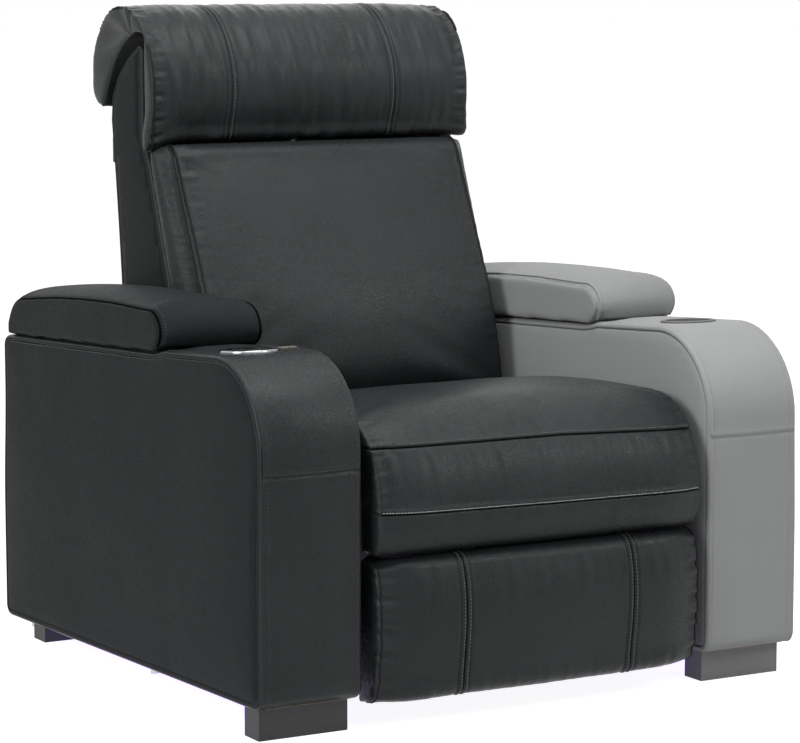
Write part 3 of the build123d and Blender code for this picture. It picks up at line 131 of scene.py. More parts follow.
# ---------------------------------------------------------------- vertex moves
def places(piece):
    """Vertex places as columns x, depth and height in millimetres."""
    flat = np.empty(3 * len(piece.data.vertices))
    piece.data.vertices.foreach_get("co", flat)
    columns = flat.reshape(-1, 3) / MM
    columns[:, 1] -= FRONT / MM
    return columns


def normals(piece):
    flat = np.empty(3 * len(piece.data.vertices))
    piece.data.vertex_normals.foreach_get("vector", flat)
    return flat.reshape(-1, 3)


def move_to(piece, columns):
    shifted = columns.copy()
    shifted[:, 1] += FRONT / MM
    piece.data.vertices.foreach_set("co", (shifted * MM).ravel())
    piece.data.update()


def push(piece, amount):
    """Moves each vertex along its normal, in millimetres."""
    move_to(piece, places(piece) + normals(piece) * np.asarray(amount)[:, None])


def ramp(value, start, end):
    """0 before start, 1 after end, smooth in between."""
    share = np.clip((value - start) / (end - start), 0, 1)
    return share * share * (3 - 2 * share)


def bell(distance, width):
    return np.exp(-((distance / width) ** 2))


def ripple(along, pitch, seed):
    """Uneven waves along a line, about -1 to 1."""
    turn = 2 * pi * along / pitch
    slow = np.sin(0.57 * turn + 1.7 * seed)
    return 0.45 * np.sin(turn + seed) + 0.3 * np.sin(1.63 * turn + 2.3 * seed) + 0.35 * slow


def sag(columns, size, seed):
    """Smooth unevenness over a surface, about -1 to 1, for wrinkles that follow no line."""
    offset = Vector((seed, 0.37 * seed, 0.71 * seed))
    return np.array([noise.noise(Vector(row) / size + offset) for row in columns])


# ---------------------------------------------------------------- cloth simulation
SIM_STEPS = 20
SIM_PRESSURE = 4.0
waiting = []                 # padded pieces for the shared simulation


def padding(name, nodes, voxel, tuck, held, cap, joined=False, fillers=()):
    """A pad remeshed from CAD solids and drawn in by tuck, apart from where it is held."""
    piece = merged(name, nodes)
    fill_notches(piece, fillers)
    if joined:
        union = piece.modifiers.new("union", "REMESH")
        union.mode = "VOXEL"
        union.voxel_size = 0.6 * voxel * MM
    evened = piece.modifiers.new("even", "REMESH")
    evened.mode = "VOXEL"
    evened.voxel_size = voxel * MM
    softened = piece.modifiers.new("soft", "SMOOTH")
    softened.iterations = 3
    settle(piece)
    columns = places(piece)
    fixed = held(columns, normals(piece))
    push(piece, -tuck * (1 - fixed))
    group = piece.vertex_groups.new(name="held")
    for index in np.nonzero(fixed > 0.02)[0]:
        group.add([int(index)], float(fixed[index]), "REPLACE")
    waiting.append((piece, cap))
    return piece


def fill_notches(piece, fillers):
    """Adds blocks, given as pairs of corners, for the remesh to join to the piece."""
    shell = bmesh.new()
    shell.from_mesh(piece.data)
    for low, high in fillers:
        put = Matrix.Translation((low + high) / 2) @ Matrix.Diagonal((*(high - low), 1))
        bmesh.ops.create_cube(shell, size=1, matrix=put)
    shell.to_mesh(piece.data)
    shell.free()


def simulate():
    """Swells every waiting pad at once and eases its points to within their cap."""
    rest = {}
    for piece, cap in waiting:
        rest[piece.name] = places(piece)
        cloth = piece.modifiers.new("cloth", "CLOTH")
        cloth.settings.quality = 4
        cloth.settings.mass = 0.3
        cloth.settings.use_pressure = True
        cloth.settings.uniform_pressure_force = SIM_PRESSURE
        cloth.settings.effector_weights.gravity = 0
        cloth.settings.bending_stiffness = 3
        cloth.settings.shrink_min = 0
        cloth.settings.vertex_group_mass = "held"
        cloth.collision_settings.use_collision = False
        cloth.point_cache.frame_start = 1
        cloth.point_cache.frame_end = SIM_STEPS
    for step in range(1, SIM_STEPS + 1):
        bpy.context.scene.frame_set(step)
    for piece, cap in waiting:
        settle(piece)
        moved = places(piece) - rest[piece.name]
        length = np.linalg.norm(moved, axis=1)
        share = cap * np.tanh(length / cap) / np.maximum(length, 0.001)
        move_to(piece, rest[piece.name] + moved * share[:, None])
    bpy.context.scene.frame_set(1)


def refine(piece, calm=None):
    """Evens the swollen surface, more where calm is 1, and subdivides it once."""
    if calm is not None:
        group = piece.vertex_groups.new(name="calm")
        for index, share in enumerate(calm):
            if share > 0.02:
                group.add([index], float(share), "REPLACE")
        calmed = piece.modifiers.new("calm", "SMOOTH")
        calmed.iterations = 40
        calmed.vertex_group = "calm"
    softened = piece.modifiers.new("soft", "SMOOTH")
    softened.iterations = 4
    finer = piece.modifiers.new("finer", "SUBSURF")
    finer.levels = 1
    finer.render_levels = 1
    settle(piece)


# ---------------------------------------------------------------- seams and stitches
SEAM_ROWS = (-11, -9, -7, -4.6, -2.4, -1.1, 0, 1.1, 2.4, 4.6, 7, 9, 11)


def seam_rows(piece, starts, direction, near):
    """Rows of vertices along straight seams, so that their grooves come out crisp."""
    shell = bmesh.new()
    shell.from_mesh(piece.data)
    normal = Vector(direction)
    for start in starts:
        for row in SEAM_ROWS:
            faces = [f for f in shell.faces if near(*place_of(f.calc_center_median()))]
            parts = {v for f in faces for v in f.verts} | {e for f in faces for e in f.edges} | set(faces)
            bmesh.ops.bisect_plane(
                shell, geom=list(parts), dist=0.35 * MM, plane_co=start + normal * row * MM, plane_no=normal
            )
    shell.to_mesh(piece.data)
    shell.free()
    smooth_shade(piece)


def place_of(co):
    return co.x / MM, (co.y - FRONT) / MM, co.z / MM


def surface(piece):
    shell = bmesh.new()
    shell.from_mesh(piece.data)
    tree = BVHTree.FromBMesh(shell)
    shell.free()
    return tree


def cast(tree, start, aim, reach=0.4):
    """Place and normal where a ray meets the surface, or None."""
    hit, normal, _, _ = tree.ray_cast(start, aim.normalized(), reach)
    return (hit, normal) if hit else None


def section(piece, x, keep=lambda place: True):
    """The outline where a piece is cut at x, in order, as places and outward normals."""
    shell = bmesh.new()
    shell.from_mesh(piece.data)
    shell.normal_update()
    tree = BVHTree.FromBMesh(shell)
    everything = shell.verts[:] + shell.edges[:] + shell.faces[:]
    cut = bmesh.ops.bisect_plane(
        shell, geom=everything, dist=0.00001, plane_co=(x * MM, 0, 0), plane_no=(1, 0, 0)
    )
    edges = {e for e in cut["geom_cut"] if isinstance(e, bmesh.types.BMEdge)}
    loops = []
    while edges:
        first = edges.pop()
        chain = [first.verts[0], first.verts[1]]
        growing = True
        while growing:
            growing = False
            for edge in chain[-1].link_edges:
                if edge in edges:
                    edges.remove(edge)
                    chain.append(edge.other_vert(chain[-1]))
                    growing = True
                    break
        loops.append([vert.co.copy() for vert in chain])
    shell.free()
    loop = even(max(loops, key=len), 4.0)
    loop = [(loop[i - 1] + loop[i] + loop[(i + 1) % len(loop)]) / 3 for i in range(len(loop))]
    kept = [keep(((place.x), (place.y - FRONT) / MM, place.z / MM)) for place in loop]
    if not all(kept):
        start = next(i for i in range(len(loop)) if kept[i] and not kept[i - 1])
        loop = loop[start:] + loop[:start]
        kept = kept[start:] + kept[:start]
        loop = loop[:kept.index(False)] if False in kept else loop
    found = []
    for place in loop:
        near, normal, _, _ = tree.find_nearest(place)
        found.append((near, normal))
    return found


def even(points, pitch):
    """The same line with points every pitch millimetres."""
    lengths = [0.0]
    for here, after in zip(points, points[1:]):
        lengths.append(lengths[-1] + (after - here).length)
    count = max(2, int(lengths[-1] / (pitch * MM)))
    wanted = np.linspace(0, lengths[-1], count)
    return [
        Vector([float(np.interp(w, lengths, [p[axis] for p in points])) for axis in range(3)])
        for w in wanted
    ]


def across_front(piece, height, x_from, x_to, depth_from=-200, pitch=4.0):
    """A line over the front of a piece, at height(x)."""
    tree = surface(piece)
    line = []
    for x in np.arange(x_from, x_to, pitch):
        hit = cast(tree, spot(x, depth_from, height(x)), Vector((0, 1, 0)))
        if hit:
            line.append(hit)
    return line


def piping(name, lines, radius, body, material, lift=0.3, closed=False):
    """Cords of leather along surface lines, standing out of the surface by lift radii."""
    curve = bpy.data.curves.new(name, "CURVE")
    curve.dimensions = "3D"
    curve.bevel_depth = radius * MM
    curve.bevel_resolution = 2
    curve.use_fill_caps = True
    for line in lines:
        spline = curve.splines.new("POLY")
        spline.points.add(len(line) - 1)
        for point, (place, normal) in zip(spline.points, line):
            point.co = (*(place + normal * lift * radius * MM), 1)
        spline.use_cyclic_u = closed
    piece = new_piece(name, curve)
    graph = bpy.context.evaluated_depsgraph_get()
    mesh = bpy.data.meshes.new_from_object(piece.evaluated_get(graph), depsgraph=graph)
    bpy.data.objects.remove(piece)
    bpy.data.curves.remove(curve)
    mesh.name = name
    tube = new_piece(name, mesh)
    smooth_shade(tube)
    return dress(tube, body, material)


def stitches(name, lines, body, material, pitch=6.0, length=4.2, width=1.1, rise=0.25):
    """Rows of thread stitches lying on surface lines."""
    shell = bmesh.new()
    for line in lines:
        points = [place for place, _ in line]
        facing = [normal for _, normal in line]
        count = len(points)
        run = even(points, pitch)
        for index, place in enumerate(run[:-1]):
            middle = (place + run[index + 1]) / 2
            along = (run[index + 1] - place).normalized()
            normal = facing[min(count - 1, round(index / max(1, len(run) - 1) * (count - 1)))]
            across = normal.cross(along).normalized()
            up = along.cross(across).normalized()
            turn = Matrix((along, across, up)).transposed().to_4x4()
            size = Matrix.Diagonal((length / 2 * MM, width / 2 * MM, width / 2 * MM, 1))
            put = Matrix.Translation(middle + normal * rise * MM) @ turn @ size
            bmesh.ops.create_icosphere(shell, subdivisions=1, radius=1, matrix=put)
    return dress(from_bmesh(name, shell), body, material)


# ---------------------------------------------------------------- materials
def node_group(name, inputs, outputs):
    """A shader node group with named float, colour and vector sockets."""
    group = bpy.data.node_groups.new(name, "ShaderNodeTree")
    kinds = {"float": "NodeSocketFloat", "color": "NodeSocketColor", "vector": "NodeSocketVector"}
    for label, kind, value in inputs:
        socket = group.interface.new_socket(label, in_out="INPUT", socket_type=kinds[kind])
        socket.default_value = value
    for label, kind in outputs:
        group.interface.new_socket(label, in_out="OUTPUT", socket_type=kinds[kind])
    start = group.nodes.new("NodeGroupInput")
    end = group.nodes.new("NodeGroupOutput")
    return group, start, end


def math_node(tree, operation, first, second, third=None):
    """A Math node whose sockets take a number or another node's output."""
    node = tree.nodes.new("ShaderNodeMath")
    node.operation = operation
    for socket, value in zip(node.inputs, (first, second, third)):
        if value is None:
            continue
        if isinstance(value, (int, float)):
            socket.default_value = value
        else:
            tree.links.new(value, socket)
    return node.outputs[0]


def mix_colors(tree, share, first, second):
    node = tree.nodes.new("ShaderNodeMix")
    node.data_type = "RGBA"
    for socket, value in ((node.inputs[0], share), (node.inputs[6], first), (node.inputs[7], second)):
        if isinstance(value, (int, float, tuple)):
            socket.default_value = value
        else:
            tree.links.new(value, socket)
    return node.outputs[2]


def pattern(tree, kind, scale, vector, **settings):
    """A noise or cell texture on the given coordinates."""
    node = tree.nodes.new({"noise": "ShaderNodeTexNoise", "cells": "ShaderNodeTexVoronoi",
                           "wave": "ShaderNodeTexWave"}[kind])
    node.inputs["Scale"].default_value = scale
    for label, value in settings.items():
        if label in node.inputs:
            node.inputs[label].default_value = value
        else:
            setattr(node, label, value)
    tree.links.new(vector, node.inputs["Vector"])
    return node


def leather_grain():
    """Pebbled grain, pores, soft creases and mottling of coated leather; the colour also carries painted shade in
    the grain's valleys and a painted sheen on its ridges.
    """
    group, start, end = node_group(
        "leather_grain",
        [("Hide", "color", (0.02, 0.02, 0.02, 1)), ("Worn_and_sheen", "color", (0.04, 0.04, 0.04, 1)),
         ("Coarseness", "float", 520.0), ("Gloss", "float", 0.44)],
        [("Color", "color"), ("Roughness", "float"), ("Height", "float")],
    )
    where = group.nodes.new("ShaderNodeTexCoord").outputs["Object"]
    cells = pattern(group, "cells", 520.0, where, feature="DISTANCE_TO_EDGE")
    group.links.new(start.outputs["Coarseness"], cells.inputs["Scale"])
    pebble = math_node(group, "SMOOTH_MIN", cells.outputs["Distance"], 0.16, 0.08)
    pores = pattern(group, "noise", 1500.0, where, Detail=3.0, Roughness=0.6)
    clumps = pattern(group, "noise", 270.0, where, Detail=2.0, Roughness=0.6)
    creases = pattern(group, "noise", 42.0, where, Detail=5.0, Roughness=0.55, Distortion=0.8)
    mottle = pattern(group, "noise", 7.0, where, Detail=3.0, Roughness=0.5)
    # Painted shade and sheen: the grain's ridges take the lighter colour and its valleys the darker one.
    painted_ridge_sheen = math_node(group, "MULTIPLY", pebble, 6.0)
    height = math_node(group, "MULTIPLY_ADD", pebble, 3.4, 0.0)
    height = math_node(group, "MULTIPLY_ADD", pores.outputs["Fac"], 0.22, height)
    height = math_node(group, "MULTIPLY_ADD", clumps.outputs["Fac"], 1.1, height)
    height = math_node(group, "MULTIPLY_ADD", creases.outputs["Fac"], 0.55, height)
    group.links.new(height, end.inputs["Height"])
    bent = group.nodes.new("ShaderNodeNewGeometry").outputs["Pointiness"]
    edge = math_node(group, "MULTIPLY_ADD", bent, 9.0, -4.35)
    edge = math_node(group, "MINIMUM", math_node(group, "MAXIMUM", edge, 0.0), 1.0)
    blotch = math_node(group, "MULTIPLY_ADD", mottle.outputs["Fac"], 1.6, -0.55)
    share = math_node(group, "MULTIPLY_ADD", edge, 0.6, math_node(group, "MULTIPLY", blotch, 0.3))
    share = math_node(group, "MULTIPLY_ADD", painted_ridge_sheen, 0.5, share)
    share = math_node(group, "MINIMUM", math_node(group, "MAXIMUM", share, 0.0), 1.0)
    color = mix_colors(group, share, start.outputs["Hide"], start.outputs["Worn_and_sheen"])
    group.links.new(color, end.inputs["Color"])
    gloss = math_node(group, "MULTIPLY_ADD", mottle.outputs["Fac"], 0.16, -0.08)
    gloss = math_node(group, "ADD", gloss, start.outputs["Gloss"])
    gloss = math_node(group, "MULTIPLY_ADD", creases.outputs["Fac"], 0.08, gloss)
    gloss = math_node(group, "MULTIPLY_ADD", clumps.outputs["Fac"], 0.30, gloss)
    gloss = math_node(group, "SUBTRACT", gloss, 0.15)
    group.links.new(gloss, end.inputs["Roughness"])
    return group


def hard_finish():
    """Fine unevenness, handling marks and rubbed edges of a hard surface."""
    group, start, end = node_group(
        "hard_finish",
        [("Base", "color", (0.1, 0.1, 0.1, 1)), ("Rubbed", "color", (0.2, 0.2, 0.2, 1)),
         ("Scale", "float", 300.0), ("Gloss", "float", 0.4)],
        [("Color", "color"), ("Roughness", "float"), ("Height", "float")],
    )
    where = group.nodes.new("ShaderNodeTexCoord").outputs["Object"]
    fine = pattern(group, "noise", 300.0, where, Detail=4.0, Roughness=0.6)
    group.links.new(start.outputs["Scale"], fine.inputs["Scale"])
    broad = pattern(group, "noise", 14.0, where, Detail=3.0, Roughness=0.5)
    bent = group.nodes.new("ShaderNodeNewGeometry").outputs["Pointiness"]
    edge = math_node(group, "MULTIPLY_ADD", bent, 8.0, -4.1)
    edge = math_node(group, "MINIMUM", math_node(group, "MAXIMUM", edge, 0.0), 0.8)
    share = math_node(group, "MULTIPLY_ADD", broad.outputs["Fac"], 0.35, edge)
    share = math_node(group, "MINIMUM", share, 1.0)
    color = mix_colors(group, share, start.outputs["Base"], start.outputs["Rubbed"])
    group.links.new(color, end.inputs["Color"])
    gloss = math_node(group, "MULTIPLY_ADD", fine.outputs["Fac"], 0.12, -0.06)
    gloss = math_node(group, "ADD", gloss, start.outputs["Gloss"])
    gloss = math_node(group, "MULTIPLY_ADD", broad.outputs["Fac"], 0.08, gloss)
    group.links.new(gloss, end.inputs["Roughness"])
    group.links.new(fine.outputs["Fac"], end.inputs["Height"])
    return group


def wood_grain():
    """Long grain lines with growth bands."""
    group, start, end = node_group(
        "wood_grain",
        [("Light", "color", (0.5, 0.35, 0.2, 1)), ("Dark", "color", (0.3, 0.2, 0.1, 1)),
         ("Gloss", "float", 0.6)],
        [("Color", "color"), ("Roughness", "float"), ("Height", "float")],
    )
    where = group.nodes.new("ShaderNodeTexCoord").outputs["Object"]
    stretch = group.nodes.new("ShaderNodeMapping")
    stretch.inputs["Scale"].default_value = (1.0, 0.12, 1.0)
    group.links.new(where, stretch.inputs["Vector"])
    lines = pattern(group, "noise", 160.0, stretch.outputs["Vector"], Detail=5.0, Roughness=0.6)
    bands = pattern(group, "noise", 22.0, stretch.outputs["Vector"], Detail=2.0, Distortion=1.2)
    share = math_node(group, "MULTIPLY_ADD", lines.outputs["Fac"], 0.6, -0.1)
    share = math_node(group, "MULTIPLY_ADD", bands.outputs["Fac"], 0.6, share)
    share = math_node(group, "MINIMUM", math_node(group, "MAXIMUM", share, 0.0), 1.0)
    color = mix_colors(group, share, start.outputs["Light"], start.outputs["Dark"])
    group.links.new(color, end.inputs["Color"])
    gloss = math_node(group, "MULTIPLY_ADD", lines.outputs["Fac"], 0.15, start.outputs["Gloss"])
    group.links.new(gloss, end.inputs["Roughness"])
    group.links.new(lines.outputs["Fac"], end.inputs["Height"])
    return group


def woven_cloth():
    """Plain weave of crossing yarns."""
    group, start, end = node_group(
        "woven_cloth",
        [("Yarn", "color", (0.03, 0.03, 0.03, 1)), ("Fleck", "color", (0.06, 0.06, 0.06, 1)),
         ("Pitch", "float", 900.0)],
        [("Color", "color"), ("Roughness", "float"), ("Height", "float")],
    )
    where = group.nodes.new("ShaderNodeTexCoord").outputs["Object"]
    parts = group.nodes.new("ShaderNodeSeparateXYZ")
    group.links.new(where, parts.inputs[0])
    warp = math_node(group, "SINE", math_node(group, "MULTIPLY", parts.outputs[0], start.outputs["Pitch"]), 0)
    deep = math_node(group, "ADD", parts.outputs[1], parts.outputs[2])
    weft = math_node(group, "SINE", math_node(group, "MULTIPLY", deep, start.outputs["Pitch"]), 0)
    height = math_node(group, "MULTIPLY", warp, weft)
    fuzz = pattern(group, "noise", 2400.0, where, Detail=2.0)
    share = math_node(group, "MULTIPLY_ADD", height, 0.25, fuzz.outputs["Fac"])
    share = math_node(group, "MINIMUM", math_node(group, "MAXIMUM", share, 0.0), 1.0)
    color = mix_colors(group, share, start.outputs["Yarn"], start.outputs["Fleck"])
    group.links.new(color, end.inputs["Color"])
    rough = math_node(group, "MULTIPLY_ADD", fuzz.outputs["Fac"], 0.12, 0.8)
    group.links.new(rough, end.inputs["Roughness"])
    group.links.new(math_node(group, "MULTIPLY_ADD", height, 0.5, 0.5), end.inputs["Height"])
    return group


def material(name, group, values, bump, depth, metal=0.0, specular=0.5, coat=0.0, sheen=0.0):
    """A Principled material fed by a surface group, with its own constants on the shader."""
    made = bpy.data.materials.new(name)
    made.use_nodes = True
    tree = made.node_tree
    shader = tree.nodes["Principled BSDF"]
    shader.inputs["Metallic"].default_value = metal
    shader.inputs["Specular IOR Level"].default_value = specular
    shader.inputs["Coat Weight"].default_value = coat
    shader.inputs["Coat Roughness"].default_value = 0.2
    shader.inputs["Sheen Weight"].default_value = sheen
    finish = tree.nodes.new("ShaderNodeGroup")
    finish.node_tree = group
    for label, value in values.items():
        finish.inputs[label].default_value = value
    tree.links.new(finish.outputs["Color"], shader.inputs["Base Color"])
    tree.links.new(finish.outputs["Roughness"], shader.inputs["Roughness"])
    relief = tree.nodes.new("ShaderNodeBump")
    relief.inputs["Strength"].default_value = bump
    relief.inputs["Distance"].default_value = depth * MM
    tree.links.new(finish.outputs["Height"], relief.inputs["Height"])
    tree.links.new(relief.outputs["Normal"], shader.inputs["Normal"])
    return made


def glowing(name, color, strength):
    """A lit lens or light strip."""
    made = material(name, GRAINS["hard"], {"Base": (*color, 1), "Rubbed": (*color, 1)}, 0.1, 0.1)
    shader = made.node_tree.nodes["Principled BSDF"]
    shader.inputs["Emission Color"].default_value = (*color, 1)
    shader.inputs["Emission Strength"].default_value = strength
    return made


GRAINS = {
    "leather": leather_grain(), "hard": hard_finish(), "wood": wood_grain(), "cloth": woven_cloth(),
}


# The second colour of a leather is for its convex edges, its random tone and the painted sheen on grain ridges.
def leather(name, hide, worn_and_sheen, coarseness=430.0, gloss=0.39, bump=0.55, specular=0.5):
    values = {"Hide": (*hide, 1), "Worn_and_sheen": (*worn_and_sheen, 1), "Coarseness": coarseness, "Gloss": gloss}
    return material(name, GRAINS["leather"], values, bump, 0.5, specular=specular)


def hard(name, base, rubbed, gloss, scale=300.0, bump=0.08, **settings):
    values = {"Base": (*base, 1), "Rubbed": (*rubbed, 1), "Gloss": gloss, "Scale": scale}
    return material(name, GRAINS["hard"], values, bump, 0.2, **settings)


def wood(name, light, dark, gloss=0.6):
    values = {"Light": (*light, 1), "Dark": (*dark, 1), "Gloss": gloss}
    return material(name, GRAINS["wood"], values, 0.2, 0.3)


def cloth(name, yarn, fleck, pitch=900.0):
    values = {"Yarn": (*yarn, 1), "Fleck": (*fleck, 1), "Pitch": pitch}
    return material(name, GRAINS["cloth"], values, 0.5, 0.4, sheen=0.15)


FINISH = {
    "black_leather": leather("black_leather", (0.0018, 0.0029, 0.0034), (0.026, 0.0302, 0.0318), gloss=0.26, specular=0.19),
    "grey_leather": leather("grey_leather", (0.265, 0.270, 0.273), (0.31, 0.314, 0.317), gloss=0.6, bump=0.3),
    "black_fabric": cloth("black_fabric", (0.012, 0.012, 0.013), (0.03, 0.03, 0.032)),
    "webbing_fabric": cloth("webbing_fabric", (0.03, 0.03, 0.032), (0.09, 0.09, 0.09), 700.0),
    "frame_wood": wood("frame_wood", (0.58, 0.42, 0.25), (0.40, 0.26, 0.14)),
    "black_wood": wood("black_wood", (0.016, 0.016, 0.017), (0.008, 0.008, 0.009), 0.45),
    "grey_wood": wood("grey_wood", (0.21, 0.212, 0.216), (0.17, 0.172, 0.176), 0.5),
    "black_steel": hard("black_steel", (0.02, 0.02, 0.021), (0.08, 0.08, 0.082), 0.42, metal=0.6),
    "zinc_steel": hard("zinc_steel", (0.26, 0.265, 0.27), (0.42, 0.43, 0.44), 0.32, metal=1.0),
    "polished_chrome": hard("polished_chrome", (0.46, 0.47, 0.48), (0.60, 0.60, 0.61), 0.06, metal=1.0),
    "black_plastic": hard("black_plastic", (0.012, 0.012, 0.013), (0.035, 0.035, 0.036), 0.38, 900.0),
    "grey_plastic": hard("grey_plastic", (0.10, 0.102, 0.105), (0.15, 0.152, 0.155), 0.45, 900.0),
    "panel_plastic": hard("panel_plastic", (0.008, 0.008, 0.009), (0.03, 0.03, 0.03), 0.18, 900.0, coat=0.5),
    "button_plastic": hard("button_plastic", (0.10, 0.085, 0.06), (0.2, 0.17, 0.13), 0.35, 900.0),
    "blue_lens": glowing("blue_lens", (0.18, 0.32, 0.9), 1.6),
    "purple_light": glowing("purple_light", (0.20, 0.01, 0.95), 13.0),
}
# Painted shade: a duller copy of the black leather for the side panels, so that the sides come out darker.
SHADED_SIDE_BLACK = leather("shaded_side_leather", (0.0080, 0.0094, 0.0101), (0.016, 0.0182, 0.0192), gloss=0.5, bump=0.2, specular=0.05)
# Painted light: a lighter copy of the grey leather for the side panels, which fall in shadow.
LIT_SIDE_GREY = leather("lit_grey_side_leather", (0.315, 0.322, 0.325), (0.34, 0.346, 0.35), gloss=0.62, bump=0.2)
# Painted shade: near-black cords sunk in the seam grooves, where shade falls as the seams fold in.
SEAM_SHADE_BLACK = leather("seam_shade", (0.0012, 0.0012, 0.0013), (0.002, 0.002, 0.0021), 1100.0, 0.8, 0.1, specular=0.03)
SEAM_SHADE_GREY = leather("grey_seam_fold", (0.09, 0.092, 0.095), (0.12, 0.122, 0.125), 1100.0, 0.6, 0.1, specular=0.2)
# Painted shade: the black piping cords get a darker, duller copy of the leather, so that they read as dark lines.
SHADED_PIPING_BLACK = leather("piping_leather", (0.003, 0.0034, 0.0037), (0.008, 0.0086, 0.0090), 1100.0, 0.42, 0.15, specular=0.12)
PIPING_GREY = leather("grey_piping_leather", (0.22, 0.223, 0.227), (0.30, 0.303, 0.307), 1100.0, 0.55, 0.1)
# Dark grey thread made lighter to carry painted highlights on the stitches.
HIGHLIT_THREAD = cloth("highlit_thread", (0.105, 0.112, 0.115), (0.22, 0.23, 0.235), 6000.0)
PALE_THREAD = cloth("pale_thread", (0.34, 0.345, 0.35), (0.5, 0.505, 0.51), 6000.0)
GREY_THREAD = cloth("grey_thread", (0.26, 0.262, 0.265), (0.34, 0.342, 0.345), 6000.0)
# Painted shade: the lids get their own duller copy of the black leather, so that their lit tops come out darker.
SHADED_LID_BLACK = leather(
    "lid_leather", (0.0030, 0.0040, 0.0046), (0.026, 0.0295, 0.031), gloss=0.52, specular=0.07
)
# Painted shade: the same thread made darker for the arms' stitches.
SHADED_ARM_THREAD = cloth("shaded_arm_thread", (0.030, 0.031, 0.032), (0.06, 0.061, 0.062), 6000.0)
# Painted shade: a darker copy of the grey leather for the lid tops.
SHADED_LID_GREY = leather("grey_lid_leather", (0.215, 0.218, 0.221), (0.26, 0.263, 0.266), gloss=0.6, bump=0.3)
# Painted shade: near-black felt on the lid boards, for the shadow in the gap under each lid pad.
GAP_SHADE_FELT = cloth("lid_gap_shade_felt", (0.006, 0.006, 0.0065), (0.016, 0.016, 0.017), 1500.0)


# ---------------------------------------------------------------- padded shapes to swell
SEAM_BEND_X = 40             # the seat's upper seam drops to the right from here
SEAM_SLOPE = 0.037


def seat_upper_seam(x):
    """Height of the dark seam over the seat's front."""
    return 420 - SEAM_SLOPE * np.clip(x - SEAM_BEND_X, 0, None)


def seat_lower_seam(x):
    return 322 - 0.013 * x


def seat_held(columns, facing):
    """1 where the leather is fixed to the frame or seamed, 0 where it is free, soft between."""
    x, depth, height = columns.T
    inside = (1 - ramp(height, 333, 338)) * ramp(depth, 38, 42)
    front = (1 - ramp(depth, 55, 75)) * ramp(-facing[:, 1], 0.1, 0.3)
    seam = front * (1 - ramp(abs(height - seat_lower_seam(x)), 2, 14))
    lip = 1 - ramp(height, 264, 286)
    return np.maximum.reduce([inside, ramp(depth, 580, 596), ends(x, SEAT_HALF), 0.7 * seam, lip])


def ends(x, half):
    """Holds the side panels, over the last few millimetres."""
    return ramp(abs(x), half - 16, half - 4)


def leg_rest_held(columns, facing):
    x, depth, height = columns.T
    rims = np.maximum(ramp(height, 236, 250), 1 - ramp(height, 54, 84))
    return np.maximum.reduce([ramp(depth, 20, 38), rims, ends(x, SEAT_HALF)])


def back_held(columns, facing):
    x, depth, height = columns.T
    slope = 612 + (height - 424) * (747 - 612) / (800 - 424)
    seam = (1 - ramp(abs(abs(x) - BACK_SEAM_X), 2, 12)) * ramp(-facing[:, 1], -0.2, 0.1)
    return np.maximum.reduce([
        ramp(depth - slope, -26, -8), 0.8 * seam, ends(x, BACK_HALF), ramp(height, 800, 824),
    ])


def headrest_held(columns, facing):
    x, depth, height = columns.T
    across, up = 752, 856
    reach = np.hypot(depth - across, height - up)
    inner = (1 - ramp(reach, 170, 176)) * ramp(depth, 786, 796)
    pocket = ramp(depth, 743, 747) * (1 - ramp(depth, 800, 806)) * (1 - ramp(height, 1006, 1014))
    lip = (1 - ramp(height, 842, 900)) * (1 - ramp(depth, 800, 806))
    return np.maximum.reduce([inner, pocket, lip, ends(x, REST_HALF)])


def lid_held(columns, facing):
    x, depth, height = columns.T
    floor = 546 - (depth - 350) * (31 / 598)
    middle = (ARM_OUTER + ARM_INNER) / 2
    side = ends(abs(x) - middle, (ARM_OUTER - ARM_INNER) / 2)
    return np.maximum(1 - ramp(height, floor + 2, floor + 14), side)


seat = padding("seat_upholstery", ["seat_cushion"], 6.5, 5, seat_held, 10)
leg_rest = padding("leg_rest_upholstery", ["leg_rest_cushion"], 4.8, 4, leg_rest_held, 8)
back = padding("back_upholstery", ["back_cushion"], 5.6, 7, back_held, 15)
front_lips = [(spot(x - 15, 734.5, 838), spot(x + 15, 744, 858)) for x in (-176, 0, 176)]
headrest = padding(
    "headrest_upholstery", ["headrest_pillow", "headrest_flap"], 5.6, 4, headrest_held, 8,
    joined=True, fillers=front_lips,
)
lids = {
    hand: padding(f"{hand}_lid_upholstery", [f"{hand}_lid_pad"], 4.8, 0, lid_held, 5)
    for hand in ("left", "right")
}
simulate()
for pad in (seat, leg_rest, headrest, *lids.values()):
    refine(pad)


def calm_hem():
    """1 over the lower front of the back cushion, away from its seams and edges."""
    x, depth, height = places(back).T
    facing = ramp(-normals(back)[:, 1], 0.2, 0.5)
    return facing * (1 - ramp(height, 520, 640)) * ramp(height, 418, 440) * (1 - ramp(abs(x), 245, 262))


refine(back, calm_hem())


